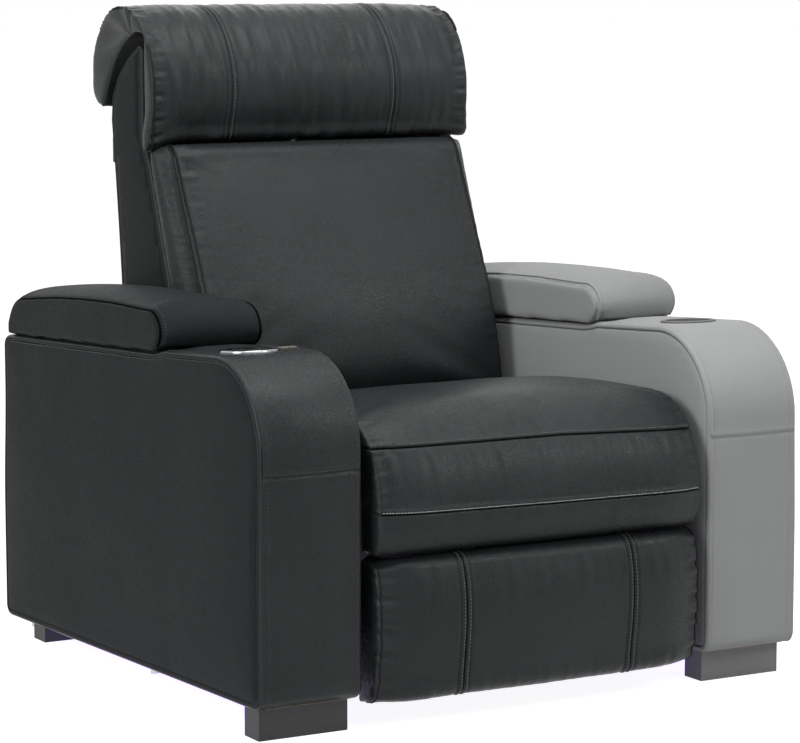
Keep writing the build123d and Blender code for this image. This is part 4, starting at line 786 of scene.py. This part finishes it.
# ---------------------------------------------------------------- seat
def shape_seat():
    face = lambda x, depth, height: depth < 80 and height > 290
    seam_rows(seat, [spot(0, 0, seat_lower_seam(0))], (0.013, 0, 1), face)
    left_face = lambda x, depth, height: face(x, depth, height) and x < SEAM_BEND_X
    right_face = lambda x, depth, height: face(x, depth, height) and x >= SEAM_BEND_X
    bend = [spot(SEAM_BEND_X, 0, seat_upper_seam(SEAM_BEND_X))]
    seam_rows(seat, bend, (0, 0, 1), left_face)
    seam_rows(seat, bend, (SEAM_SLOPE, 0, 1), right_face)
    columns = places(seat)
    x, depth, height = columns.T
    facing = normals(seat)
    front = ramp(-facing[:, 1], 0.02, 0.2) * (depth < 80)
    above = height - seat_upper_seam(x)
    below = height - seat_lower_seam(x)
    amount = front * (-2.6 * bell(above, 1.5) + 0.9 * bell(above - 4.5, 3.5))
    amount += front * (-2.6 * bell(below, 1.5) + 0.9 * bell(below - 4.5, 3.5))
    hang = np.clip(-above, 0, None)
    amount += front * 2.0 * ripple(x, 38, 1.0) * np.exp(-hang / 34) * (above < 0) * ramp(hang, 3, 14)
    amount += front * 0.3 * ripple(x, 30, 4.0) * bell(above - 18, 12)
    amount += front * 0.5 * ripple(x, 46, 2.4) * bell(below + 26, 22)
    edge = SEAT_HALF - abs(x)
    amount += 1.0 * ripple(depth + 1.2 * height, 31, 3.0) * bell(edge - 14, 12)
    amount += 1.1 * sag(columns, 95, 5.0) * (height > 334)
    push(seat, amount)
    columns = places(seat)
    columns[:, 2] -= 3.5 * (1 - ramp(columns[:, 2], 258, 292))
    move_to(seat, columns)


shape_seat()
dress(seat, "base", FINISH["black_leather"], ["seat_cushion"])
over_seat = lambda place: place[1] < 590 and (place[2] > 334 or place[1] < 30)
seat_edges = [section(seat, end * (SEAT_HALF - 7), over_seat) for end in (-1, 1)]
piping("seat_edge_piping", seat_edges, 1.9, "base", SHADED_PIPING_BLACK)
SEAM_END = SEAT_HALF - 7


def seat_line(height, above):
    return across_front(seat, lambda x: height(x) + above, -SEAM_END, SEAM_END)


seat_folds = [seat_line(seat_upper_seam, 0), seat_line(seat_lower_seam, 0)]
# near-black cords in the seam grooves: painted shade
piping("seat_front_seam_shade", seat_folds, 1.0, "base", SEAM_SHADE_BLACK, lift=0)
stitches(
    "seat_dark_stitches", [seat_line(seat_upper_seam, 4.2)], "base", HIGHLIT_THREAD, 5.0, 3.6
)
stitches(
    "seat_pale_stitches", [seat_line(seat_lower_seam, 2.8)], "base", PALE_THREAD,
    4.6, 3.9, 1.7, rise=0.5,
)


# ---------------------------------------------------------------- leg rest
def twin_groove(x, middle):
    """Section across a twin-stitched seam, in millimetres from the panel."""
    away = abs(x) - middle
    outer = bell(away - TWIN_EDGE, 1.7) + bell(away + TWIN_EDGE, 1.7)
    ridges = bell(away - TWIN_ROW, 2.2) + bell(away + TWIN_ROW, 2.2)
    return -2.8 * bell(away, 1.5) - 2.0 * outer + 0.7 * ridges


def both_sides(middle):
    return [spot(hand * middle, 0, 0) for hand in (-1, 1)]


def shape_leg_rest():
    face = lambda x, depth, height: depth < 42 and abs(abs(x) - TWIN_SEAM_X["leg_rest"]) < 30
    seam_rows(leg_rest, both_sides(TWIN_SEAM_X["leg_rest"]), (1, 0, 0), face)
    columns = places(leg_rest)
    x, depth, height = columns.T
    facing = normals(leg_rest)
    front = ramp(-facing[:, 1], 0.0, 0.3) * ramp(-depth, -44, -30)
    amount = front * twin_groove(x, TWIN_SEAM_X["leg_rest"])
    edge = SEAT_HALF - abs(x)
    amount += 3.2 * front * ripple(height, 27, 2.0) * bell(edge - 14, 16)
    amount += 1.5 * front * ripple(x, 42, 5.0) * bell(height - 222, 30)
    amount += 0.5 * front * ripple(x, 30, 1.0) * bell(height - 60, 16)
    amount += 0.9 * front * sag(columns, 80, 9.0) * ramp(height, 24, 60)
    amount += 3.0 * front * ramp(edge, 6, 90) * bell(height - 190, 60)
    push(leg_rest, amount)
    columns = places(leg_rest)
    x, depth, height = columns.T
    low = 1 - ramp(height, 46, 96)
    columns[:, 2] -= low * (5 + 4 * ramp(-x, 120, SEAT_HALF))
    move_to(leg_rest, columns)


shape_leg_rest()
dress(leg_rest, "leg_rest", FINISH["black_leather"], ["leg_rest_cushion"])


def twin_rows(piece, middle, keep):
    """Four surface lines: a row of stitches each side of both twin seams."""
    return [
        section(piece, hand * middle + row, keep)
        for hand in (-1, 1) for row in (-TWIN_ROW, TWIN_ROW)
    ]


leg_front = lambda place: place[1] < 38
fold_lines = lambda piece, middle, keep: [section(piece, hand * middle, keep) for hand in (-1, 1)]
leg_folds = fold_lines(leg_rest, TWIN_SEAM_X["leg_rest"], leg_front)
# near-black cords in the seam grooves: painted shade
piping("leg_rest_seam_shade", leg_folds, 1.1, "leg_rest", SEAM_SHADE_BLACK, lift=0)
leg_rows = twin_rows(leg_rest, TWIN_SEAM_X["leg_rest"], leg_front)
stitches("leg_rest_stitches", leg_rows, "leg_rest", HIGHLIT_THREAD, 5.4, 3.8)
leg_edges = [section(leg_rest, end * (SEAT_HALF - 6), leg_front) for end in (-1, 1)]
piping("leg_rest_edge_piping", leg_edges, 1.2, "leg_rest", SHADED_PIPING_BLACK)


# ---------------------------------------------------------------- back cushion
def shape_back():
    face = lambda x, depth, height: abs(abs(x) - BACK_SEAM_X) < 24 and depth < 612 + (height - 424) * 0.36
    seam_rows(back, both_sides(BACK_SEAM_X), (1, 0, 0), face)
    columns = places(back)
    x, depth, height = columns.T
    facing = normals(back)
    front = ramp(-facing[:, 1], -0.2, 0.2)
    away = abs(x) - BACK_SEAM_X
    amount = front * (-2.6 * bell(away, 2.6))
    gathered = 0.25 + 0.75 * ramp(sag(columns, 90, 12.0), -0.1, 0.35)
    amount += front * 1.5 * gathered * ripple(height, 25, 6.0) * bell(away + 14, 14)
    amount += front * 0.9 * ripple(height, 22, 2.0) * bell(away - 12, 10)
    amount += front * 1.5 * sag(columns, 130, 3.0) * (abs(x) < BACK_SEAM_X)
    push(back, amount)
    columns = places(back)
    columns[:, 2] += 4.5 * ramp(columns[:, 2], 770, 828)
    move_to(back, columns)


shape_back()
dress(back, "back", FINISH["black_leather"], ["back_cushion"])
back_front = lambda place: place[1] < 612 + (place[2] - 424) * 0.36 - 4 and place[2] > 416
back_cords = [
    section(back, hand * (BACK_SEAM_X + row), back_front) for hand in (-1, 1) for row in (-3.0, 3.0)
]
piping("back_double_piping", back_cords, 1.7, "back", SHADED_PIPING_BLACK)


# ---------------------------------------------------------------- headrest
def shape_headrest():
    face = lambda x, depth, height: abs(abs(x) - TWIN_SEAM_X["headrest"]) < 30
    seam_rows(headrest, both_sides(TWIN_SEAM_X["headrest"]), (1, 0, 0), face)
    columns = places(headrest)
    x, depth, height = columns.T
    facing = normals(headrest)
    reach = np.hypot(depth - 752, height - 856)
    outside = 1 - ramp(depth, 742, 750) * (1 - ramp(reach, 24, 34))
    outside = outside * (1 - ramp(depth, 770, 800) * (1 - ramp(reach, 168, 173)))
    amount = outside * twin_groove(x, TWIN_SEAM_X["headrest"])
    edge = REST_HALF - abs(x)
    along = np.arctan2(depth - 840, height - 900) * 150
    skin = ramp(edge, 0, 8)
    amount += outside * 1.6 * ripple(along, 25, 2.0) * bell(edge - 14, 12) * skin
    amount += outside * 0.9 * ripple(x, 52, 3.0) * bell(height - 1035, 34) * (depth < 830)
    amount += outside * 1.4 * sag(columns, 105, 7.0) * skin
    drawn = np.stack([x, along / 6, 0 * x], axis=1)
    between = 1 - bell(abs(abs(x) - TWIN_SEAM_X["headrest"]), 16)
    patches = ramp(sag(columns, 160, 3.0), -0.4, 0.2)
    amount += outside * 3.0 * sag(drawn, 21, 11.0) * skin * between * patches
    amount += outside * 1.1 * sag(2 * drawn, 21, 4.0) * skin * between
    push(headrest, amount)
    columns = places(headrest)
    x, depth, height = columns.T
    corner = ramp(-x, REST_HALF - 60, REST_HALF) * 15 + ramp(x, REST_HALF - 50, REST_HALF) * 4
    low = (1 - ramp(height, 838, 930)) * (depth < 800)
    columns[:, 2] -= low * corner
    columns[:, 1] -= low * corner * 0.35
    columns[:, 0] += np.sign(x) * (1 - ramp(height, 838, 900)) * (depth < 800) * ramp(abs(x), 250, REST_HALF) * 7
    move_to(headrest, columns)
    columns = places(headrest)
    x, depth, height = columns.T
    lobe = np.hypot(depth - 800, height - 1010)
    inside = (depth > 800) & (edge < 4)
    deep = bell(lobe - 75, 60) * inside
    fold = np.sin(np.arctan2(height - 1010, depth - 800) * 11 + 0.6)
    dished = columns.copy()
    dished[:, 0] -= np.sign(x) * deep * (5 + 1.8 * fold)
    move_to(headrest, dished)


shape_headrest()
dress(
    headrest, "headrest", FINISH["black_leather"],
    ["headrest_pillow", "headrest_flap"],
)
off_pivot = lambda place: (
    ((place[1] - 752) ** 2 + (place[2] - 856) ** 2) ** 0.5 > (174 if place[1] > 785 else 0)
    and not (745 < place[1] < 800 and place[2] < 1015)
)
rest_folds = fold_lines(headrest, TWIN_SEAM_X["headrest"], off_pivot)
# near-black cords in the seam grooves: painted shade
piping("headrest_seam_shade", rest_folds, 1.1, "headrest", SEAM_SHADE_BLACK, lift=0)
rest_rows = twin_rows(headrest, TWIN_SEAM_X["headrest"], off_pivot)
stitches("headrest_stitches", rest_rows, "headrest", HIGHLIT_THREAD, 5.6, 3.8)
rest_edges = [section(headrest, end * (REST_HALF - 5), off_pivot) for end in (-1, 1)]
piping("headrest_edge_piping", rest_edges, 2.0, "headrest", SHADED_PIPING_BLACK)


# ---------------------------------------------------------------- arms
def block(name, outline, x_from, x_to, round_corners, rounding, rows, columns_across, rings):
    """A padded block between two side panels: outline is (depth, height), rings (inset, rise).

    Returns the block and the seam ring of each side panel, as surface lines."""
    shell = bmesh.new()
    corners = [shell.verts.new(spot(x_from, *place)) for place in outline]
    panel = shell.faces.new(corners)
    if round_corners:
        bmesh.ops.bevel(
            shell, geom=[corners[index] for index in round_corners], offset=rounding * MM,
            offset_type="OFFSET", segments=5, profile=0.5, affect="VERTICES", material=-1,
        )
    for edge in list(shell.edges):
        cuts = int(edge.calc_length() / (rows * MM))
        if cuts:
            bmesh.ops.subdivide_edges(shell, edges=[edge], cuts=cuts)
    bmesh.ops.recalc_face_normals(shell, faces=shell.faces)
    grown = bmesh.ops.extrude_face_region(shell, geom=shell.faces[:])
    moved = [v for v in grown["geom"] if isinstance(v, bmesh.types.BMVert)]
    bmesh.ops.translate(shell, verts=moved, vec=((x_to - x_from) * MM, 0, 0))
    bmesh.ops.recalc_face_normals(shell, faces=shell.faces)
    width = abs(x_to - x_from) * MM
    cross = [e for e in shell.edges if abs(abs(e.verts[0].co.x - e.verts[1].co.x) - width) < 1e-6]
    bmesh.ops.subdivide_edges(shell, edges=cross, cuts=columns_across, use_grid_fill=True)
    panels = sorted(shell.faces, key=lambda f: -len(f.verts))[:2]
    rims = list({e for panel in panels for e in panel.edges})
    bmesh.ops.bevel(
        shell, geom=rims, offset=6 * MM, offset_type="OFFSET", segments=4,
        profile=0.5, affect="EDGES", material=-1,
    )
    seams = []
    for panel in sorted(shell.faces, key=lambda f: -len(f.verts))[:2]:
        for inset, rise in rings:
            bmesh.ops.inset_region(
                shell, faces=[panel], thickness=inset * MM, depth=rise * MM, use_even_offset=True
            )
            if rise < 0:
                seams.append([(v.co.copy(), panel.normal.copy()) for v in panel.verts])
        grid_panel(shell, panel)
    return from_bmesh(name, shell), seams


def grid_panel(shell, panel):
    """Divides a flat side panel so that it can be crowned and wrinkled."""
    level = panel.calc_center_median().x
    flat = lambda face: all(abs(v.co.x - level) < 0.05 * MM for v in face.verts)
    corners = [v.co.copy() for v in panel.verts]
    for axis in (1, 2):
        ends = [place[axis] for place in corners]
        for place in np.arange(min(ends), max(ends), 18 * MM)[1:]:
            faces = [f for f in shell.faces if flat(f)]
            parts = {v for f in faces for v in f.verts} | {e for f in faces for e in f.edges} | set(faces)
            direction = Vector((0, 0, 0))
            direction[axis] = 1
            bmesh.ops.bisect_plane(
                shell, geom=list(parts), dist=1e-6, plane_co=direction * place, plane_no=direction
            )


def crown(piece, seams, rise, reach):
    """Puffs the side panels out between their seams."""
    ring = KDTree(sum(len(seam) for seam in seams))
    for index, (place, _) in enumerate(place for seam in seams for place in seam):
        ring.insert(place, index)
    ring.balance()
    distance = np.array([ring.find(v.co)[2] / MM for v in piece.data.vertices])
    side = abs(normals(piece)[:, 0]) > 0.8
    push(piece, side * rise * (1 - np.exp(-distance / reach)))


ARM_NOSE = 140
ARM_OUTLINE = [
    (ARM_NOSE - ARM_NOSE * cos(turn), 418 + ARM_NOSE * sin(turn)) for turn in np.linspace(0, pi / 2, 16)
] + [(325, 546), (350, 539), (948, 509), (948, 28), (0, 51)]
SEAM_RINGS = ((1.5, 0.0), (1.5, -3.0), (2.4, 2.8), (1.4, 0.4))


def pocket(name, node, grow):
    """A cutter of a node's box, a little larger."""
    low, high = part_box(node)
    cutter = bmesh.new()
    middle = (low + high) / 2
    size = (high - low) + Vector((grow, grow, 0)) * 2 * MM
    put = Matrix.Translation(middle + Vector((0, 0, size.z / 4))) @ Matrix.Diagonal(
        (size.x, size.y, size.z * 1.5, 1)
    )
    bmesh.ops.create_cube(cutter, size=1, matrix=put)
    return from_bmesh(name, cutter)


def well(name, node, grow):
    """A round cutter for a cup well."""
    low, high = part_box(node)
    cutter = bmesh.new()
    middle = (low + high) / 2
    radius = (high.x - low.x) / 2 + grow * MM
    put = Matrix.Translation(middle + Vector((0, 0, 20 * MM)))
    bmesh.ops.create_cone(
        cutter, cap_ends=True, segments=48, radius1=radius, radius2=radius,
        depth=(high.z - low.z) + 40 * MM, matrix=put,
    )
    return from_bmesh(name, cutter)


def carve(piece, cutters):
    """Cuts the cutters out of a piece and removes them."""
    for cutter in cutters:
        cut = piece.modifiers.new("cut", "BOOLEAN")
        cut.operation = "DIFFERENCE"
        cut.solver = "EXACT"
        cut.object = cutter
    settle(piece)
    for cutter in cutters:
        bpy.data.objects.remove(cutter)


def shape_arm(arm, hand):
    columns = places(arm)
    x, depth, height = columns.T
    facing = normals(arm)
    middle = (ARM_OUTER + ARM_INNER) / 2
    half = (ARM_OUTER - ARM_INNER) / 2
    across = (abs(x) - middle) / half
    strip = ramp(1 - abs(across), 0.02, 0.75)
    boxing = (abs(facing[:, 0]) < 0.6) * (height > 60)
    front = boxing * (depth < 8) * (facing[:, 1] < -0.8)
    amount = boxing * 4.6 * strip * (1 - ramp(height, 500, 546))
    amount += front * (-2.4 * bell(height - FRONT_SEAM_HEIGHT, 2.4))
    amount += front * 0.9 * bell(height - FRONT_SEAM_HEIGHT - 6, 4)
    amount += boxing * 0.8 * sag(columns, 60, 2.0) * (1 - ramp(height, 500, 546))
    outer = (across > 0.6) * (abs(facing[:, 0]) > 0.6)
    amount += outer * 3.5 * (1 - ramp(height, 230, 430))
    behind_cup = ramp(depth, 236, 275) * (1 - ramp(depth, 300, 325)) * (height > 535)
    amount += behind_cup * 5.0 * strip
    amount += outer * 1.6 * sag(columns, 170, 4.0) * ramp(height, 70, 200)
    push(arm, amount)


def make_arm(hand, leather_finish, side_light_finish, seam_shade_finish, thread):
    sign = -1 if hand == "left" else 1
    arm, seams = block(
        f"{hand}_arm_upholstery", ARM_OUTLINE, sign * (ARM_OUTER - 2), sign * (ARM_INNER + 1.5),
        (17, 18, 19, 20), 18, 14, 25, SEAM_RINGS,
    )
    crown(arm, seams, 5.0, 45)
    cut_seam(arm)
    shape_arm(arm, hand)
    carve(arm, [pocket("bin_cutter", f"{hand}_storage_bin", -7.0), well("cup_cutter", f"{hand}_cup_liner", -4.0)])
    dress(arm, "base", leather_finish, [f"{hand}_arm_cover"])
    # side panels in their painted light-and-shade copy of the leather
    arm.data.materials.append(side_light_finish)
    paint_panels(arm, 1)
    # near-black cord round each side panel's seam groove: painted shade
    piping(f"{hand}_arm_seam_shade", seams, 1.5, "base", seam_shade_finish, lift=0.1, closed=True)
    shown = lambda place: place[2] > 60 and place[1] < 930
    edges = [sign * (ARM_OUTER - 14), sign * (ARM_INNER + 10)]
    rows = [section(arm, edge, shown) for edge in edges]
    for above in (4.2,):
        low, high = sorted((sign * (ARM_OUTER - 10), sign * (ARM_INNER + 6)))
        rows.append(across_front(arm, lambda x: FRONT_SEAM_HEIGHT + above, low, high))
    stitches(f"{hand}_arm_stitches", rows, "base", thread, 5.4, 3.6)
    return arm


def cut_seam(arm):
    """Rows of vertices across the front face, round the cross seam."""
    shell = bmesh.new()
    shell.from_mesh(arm.data)
    for offset in (-8, -5, -3, -1.5, 0, 1.5, 3, 5, 8, 12):
        front = [f for f in shell.faces if f.normal.y < -0.9 and f.calc_center_median().y < FRONT + 9 * MM]
        parts = {v for f in front for v in f.verts} | {e for f in front for e in f.edges} | set(front)
        bmesh.ops.bisect_plane(
            shell, geom=list(parts), dist=1e-6, plane_co=(0, 0, (FRONT_SEAM_HEIGHT + offset) * MM),
            plane_no=(0, 0, 1),
        )
    shell.to_mesh(arm.data)
    shell.free()
    smooth_shade(arm)


def paint_panels(piece, slot_index):
    """Gives the flat side panels their own copy of the leather, set lighter or darker for how the light falls on
    them: painted light and shade.
    """
    for face in piece.data.polygons:
        if abs(face.normal.x) > 0.75:
            face.material_index = slot_index


left_arm = make_arm(
    "left", FINISH["black_leather"], SHADED_SIDE_BLACK, SEAM_SHADE_BLACK, SHADED_ARM_THREAD
)
right_arm = make_arm(
    "right", FINISH["grey_leather"], LIT_SIDE_GREY, SEAM_SHADE_GREY, GREY_THREAD
)


# ---------------------------------------------------------------- lids
def shape_lid(lid):
    columns = places(lid)
    x, depth, height = columns.T
    middle = (ARM_OUTER + ARM_INNER) / 2
    half = (ARM_OUTER - ARM_INNER) / 2
    edge = half - abs(abs(x) - middle)
    along = np.arctan2(height - 570, depth - 620) * 300
    floor = 546 - (depth - 350) * (31 / 598)
    free = ramp(height, floor, floor + 10)
    inner = (ARM_OUTER - abs(x)) / (ARM_OUTER - ARM_INNER)
    nose = 1 - ramp(depth, 330, 520)
    swollen = columns + normals(lid) * (free * 8.5 * np.sqrt(ramp(edge, 0, 70)))[:, None]
    swollen[:, 1] -= 18 * nose * np.clip(inner, 0, 1)
    swollen[:, 0] -= np.sign(x) * 4 * ramp(inner, 0.7, 1.0)
    move_to(lid, swollen)
    amount = free * (-1.8 * bell(edge - 5, 2.4) + 0.4 * ripple(along, 30, 4.0) * bell(edge - 14, 10))
    amount += free * 0.6 * sag(columns, 70, 6.0)
    push(lid, amount)


for hand, sign, finish, panel, cord, thread, slot in (
    ("left", -1, SHADED_LID_BLACK, SHADED_SIDE_BLACK, SEAM_SHADE_BLACK, SHADED_ARM_THREAD, "black_leather"),
    ("right", 1, SHADED_LID_GREY, LIT_SIDE_GREY, PIPING_GREY, GREY_THREAD, "grey_leather"),
):
    lid = lids[hand]
    shape_lid(lid)
    dress(lid, f"{hand}_lid", finish, [f"{hand}_lid_pad"])
    # side panels in their painted light-and-shade copy of the leather
    lid.data.materials.append(panel)
    paint_panels(lid, 1)
    above_board = lambda place: place[2] > 548 - (place[1] - 350) * (31 / 598)
    rims = [section(lid, sign * edge, above_board) for edge in (ARM_OUTER - 5, ARM_INNER + 5)]
    # the left lid's rim cords use the painted seam shade
    piping(f"{hand}_lid_piping", rims, 1.8, f"{hand}_lid", cord)
    rows = [section(lid, sign * edge, above_board) for edge in (ARM_OUTER - 12, ARM_INNER + 12)]
    stitches(f"{hand}_lid_stitches", rows, f"{hand}_lid", thread, 5.4, 3.6)


# ---------------------------------------------------------------- back cover
BACK_OUTLINE = [(774, 1006), (774, 846), (748, 800), (679, 615), (612, 424), (612, 352), (846, 330)] + [
    (846 + 20 * t + 31 * t ** 2 - 0 * t, 330 + 540 * t) for t in np.linspace(0.1, 1, 12)
] + [(892, 912), (868, 946), (830, 976)]


def make_back_cover():
    cover, seams = block(
        "back_cover_leather", BACK_OUTLINE, -BACK_HALF + 2, BACK_HALF - 2, (0, 4, 5, 6), 24, 16, 30,
        SEAM_RINGS[:3],
    )
    crown(cover, seams, 2.0, 30)
    columns = places(cover)
    x, depth, height = columns.T
    facing = normals(cover)
    rear = ramp(facing[:, 1], 0.5, 0.8) * (height > 340)
    swell = 2.6 * ramp(BACK_HALF - abs(x), 6, 90) + 1.0 * sag(columns, 140, 8.0)
    swell += -2.0 * bell(abs(x) - 150, 2.4)
    push(cover, rear * swell)
    shell = bmesh.new()
    shell.from_mesh(cover.data)
    open_faces = [
        f for f in shell.faces
        if (f.normal.y < -0.5 and abs(f.calc_center_median().x) < (BACK_HALF - 32) * MM)
        or (f.normal.z < -0.8 and f.calc_center_median().z < 0.36)
    ]
    bmesh.ops.delete(shell, geom=open_faces, context="FACES")
    shell.to_mesh(cover.data)
    shell.free()
    wall = cover.modifiers.new("wall", "SOLIDIFY")
    wall.thickness = 8 * MM
    wall.offset = -1
    settle(cover)
    dress(cover, "back", FINISH["black_leather"], ["back_cover"])
    # side panels in the painted-shade copy of the black leather
    cover.data.materials.append(SHADED_SIDE_BLACK)
    paint_panels(cover, 1)
    # near-black cord round each side panel's seam groove: painted shade
    piping("back_cover_seam_shade", seams, 1.3, "back", SEAM_SHADE_BLACK, lift=0.1, closed=True)
    return cover


def make_pull_tab():
    """A short loop of webbing at the rear of the back's left side."""
    shell = bmesh.new()
    low, high = spot(-BACK_HALF + 8, 884, 797), spot(-BACK_HALF + 30, 905, 841)
    put = Matrix.Translation((low + high) / 2) @ Matrix.Diagonal((*(high - low), 1))
    bmesh.ops.create_cube(shell, size=1, matrix=put)
    bmesh.ops.bevel(
        shell, geom=shell.edges[:], offset=2 * MM, offset_type="OFFSET", segments=2, profile=0.5,
        affect="EDGES",
    )
    return dress(from_bmesh("back_pull_tab", shell), "back", FINISH["black_fabric"])


back_cover = make_back_cover()
pull_tab = make_pull_tab()


# ---------------------------------------------------------------- linings
def lining(name, x_ends, depth_ends, height_ends, body):
    """A flat piece of black lining cloth, a millimetre thick."""
    shell = bmesh.new()
    low, high = (spot(x_ends[i], depth_ends[i], height_ends[i]) for i in (0, 1))
    put = Matrix.Translation((low + high) / 2) @ Matrix.Diagonal((*(high - low), 1))
    bmesh.ops.create_cube(shell, size=1, matrix=put)
    piece = dress(from_bmesh(name, shell), body, FINISH["black_fabric"])
    piece.data.polygons.foreach_set("use_smooth", [False] * len(piece.data.polygons))
    return piece


lining("seat_frame_lining", (-309.5, 309.5), (43.6, 44.6), (263, 331), "base")


# ---------------------------------------------------------------- carried-over nodes
def slot_of(node):
    """The record's material slot of a CAD node."""
    for part in frame["record"]["subparts"]:
        if part.get("node") == node or node in part.get("nodes", []):
            return part.get("material_slot") or part.get("material")
    return None


for name, node in frame["nodes"].items():
    slot = slot_of(name)
    if slot in FINISH:
        if node.data.materials:
            node.data.materials[0] = FINISH[slot]
        else:
            node.data.materials.append(FINISH[slot])


# the lid boards take the painted-shade felt
for hand in ("left", "right"):
    frame["nodes"][f"{hand}_lid_board"].data.materials[0] = GAP_SHADE_FELT


# ---------------------------------------------------------------- studio
def straight_view(tree):
    """1 for rays that show the backdrop: seen directly, mirrored, or through glass."""
    path = tree.nodes.new("ShaderNodeLightPath")
    shown = math_node(tree, "MAXIMUM", path.outputs["Is Camera Ray"], path.outputs["Is Glossy Ray"])
    return math_node(tree, "MAXIMUM", shown, path.outputs["Is Transmission Ray"])


def backdrop_white(name, color, lift):
    """Pale matte ground that is seen as near white, apart from the object's shadow."""
    made = bpy.data.materials.new(name)
    made.use_nodes = True
    tree = made.node_tree
    shader = tree.nodes["Principled BSDF"]
    shader.inputs["Base Color"].default_value = (*color, 1)
    shader.inputs["Roughness"].default_value = 0.9
    shader.inputs["Specular IOR Level"].default_value = 0.1
    shader.inputs["Emission Color"].default_value = (1, 1, 1, 1)
    seen = math_node(tree, "MULTIPLY", straight_view(tree), lift)
    tree.links.new(seen, shader.inputs["Emission Strength"])
    return made


def studio():
    shell = bmesh.new()
    bmesh.ops.create_grid(shell, x_segments=1, y_segments=1, size=60)
    floor = from_bmesh("studio_floor", shell)
    floor.data.materials.append(backdrop_white("studio_floor_white", (0.5, 0.5, 0.5), 0.92))
    world = bpy.data.worlds.new("studio")
    bpy.context.scene.world = world
    world.use_nodes = True
    tree = world.node_tree
    tree.nodes.clear()
    soft = tree.nodes.new("ShaderNodeBackground")
    soft.inputs["Color"].default_value = (1, 1, 1, 1)
    soft.inputs["Strength"].default_value = 0.2
    seen = tree.nodes.new("ShaderNodeBackground")
    seen.inputs["Color"].default_value = (1, 1, 1, 1)
    seen.inputs["Strength"].default_value = 1.0
    choose = tree.nodes.new("ShaderNodeMixShader")
    out = tree.nodes.new("ShaderNodeOutputWorld")
    tree.links.new(straight_view(tree), choose.inputs[0])
    tree.links.new(soft.outputs[0], choose.inputs[1])
    tree.links.new(seen.outputs[0], choose.inputs[2])
    tree.links.new(choose.outputs[0], out.inputs["Surface"])


def softbox(name, place, aim, width, height, power):
    """A rectangular studio lamp."""
    lamp = bpy.data.lights.new(name, "AREA")
    lamp.shape = "RECTANGLE"
    lamp.size = width
    lamp.size_y = height
    lamp.energy = power
    holder = bpy.data.objects.new(name, lamp)
    bpy.context.scene.collection.objects.link(holder)
    holder.location = place
    holder.rotation_euler = (Vector(aim) - Vector(place)).to_track_quat("-Z", "Y").to_euler()


CAMERA_PLACE = (-2.4979, -4.3904, 1.1157)
CAMERA_YAW = 0.5207
CAMERA_PITCH = 0.1275
CAMERA_LENS = 139.7


def camera():
    lens = bpy.data.cameras.new("photo_camera")
    lens.lens = CAMERA_LENS
    lens.sensor_width = 36
    lens.clip_start = 0.1
    lens.clip_end = 60
    viewer = bpy.data.objects.new("photo_camera", lens)
    bpy.context.scene.collection.objects.link(viewer)
    viewer.location = CAMERA_PLACE
    aim = Vector((sin(CAMERA_YAW) * cos(CAMERA_PITCH), cos(CAMERA_YAW) * cos(CAMERA_PITCH), -sin(CAMERA_PITCH)))
    viewer.rotation_euler = aim.to_track_quat("-Z", "Y").to_euler()
    bpy.context.scene.camera = viewer


studio()
softbox("key_softbox", (2.3, -3.2, 2.9), (0, 0, 0.6), 1.4, 1.4, 62)
softbox("left_softbox", (-3.4, -1.1, 1.9), (0, 0, 0.6), 1.6, 1.8, 66)
softbox("top_softbox", (0, -0.6, 3.3), (0, 0, 0.4), 2.0, 1.6, 66)
softbox("rear_softbox", (1.0, 3.2, 2.4), (0, 0, 0.6), 2.4, 1.6, 8)
camera()
bpy.context.scene.view_settings.view_transform = "Standard"
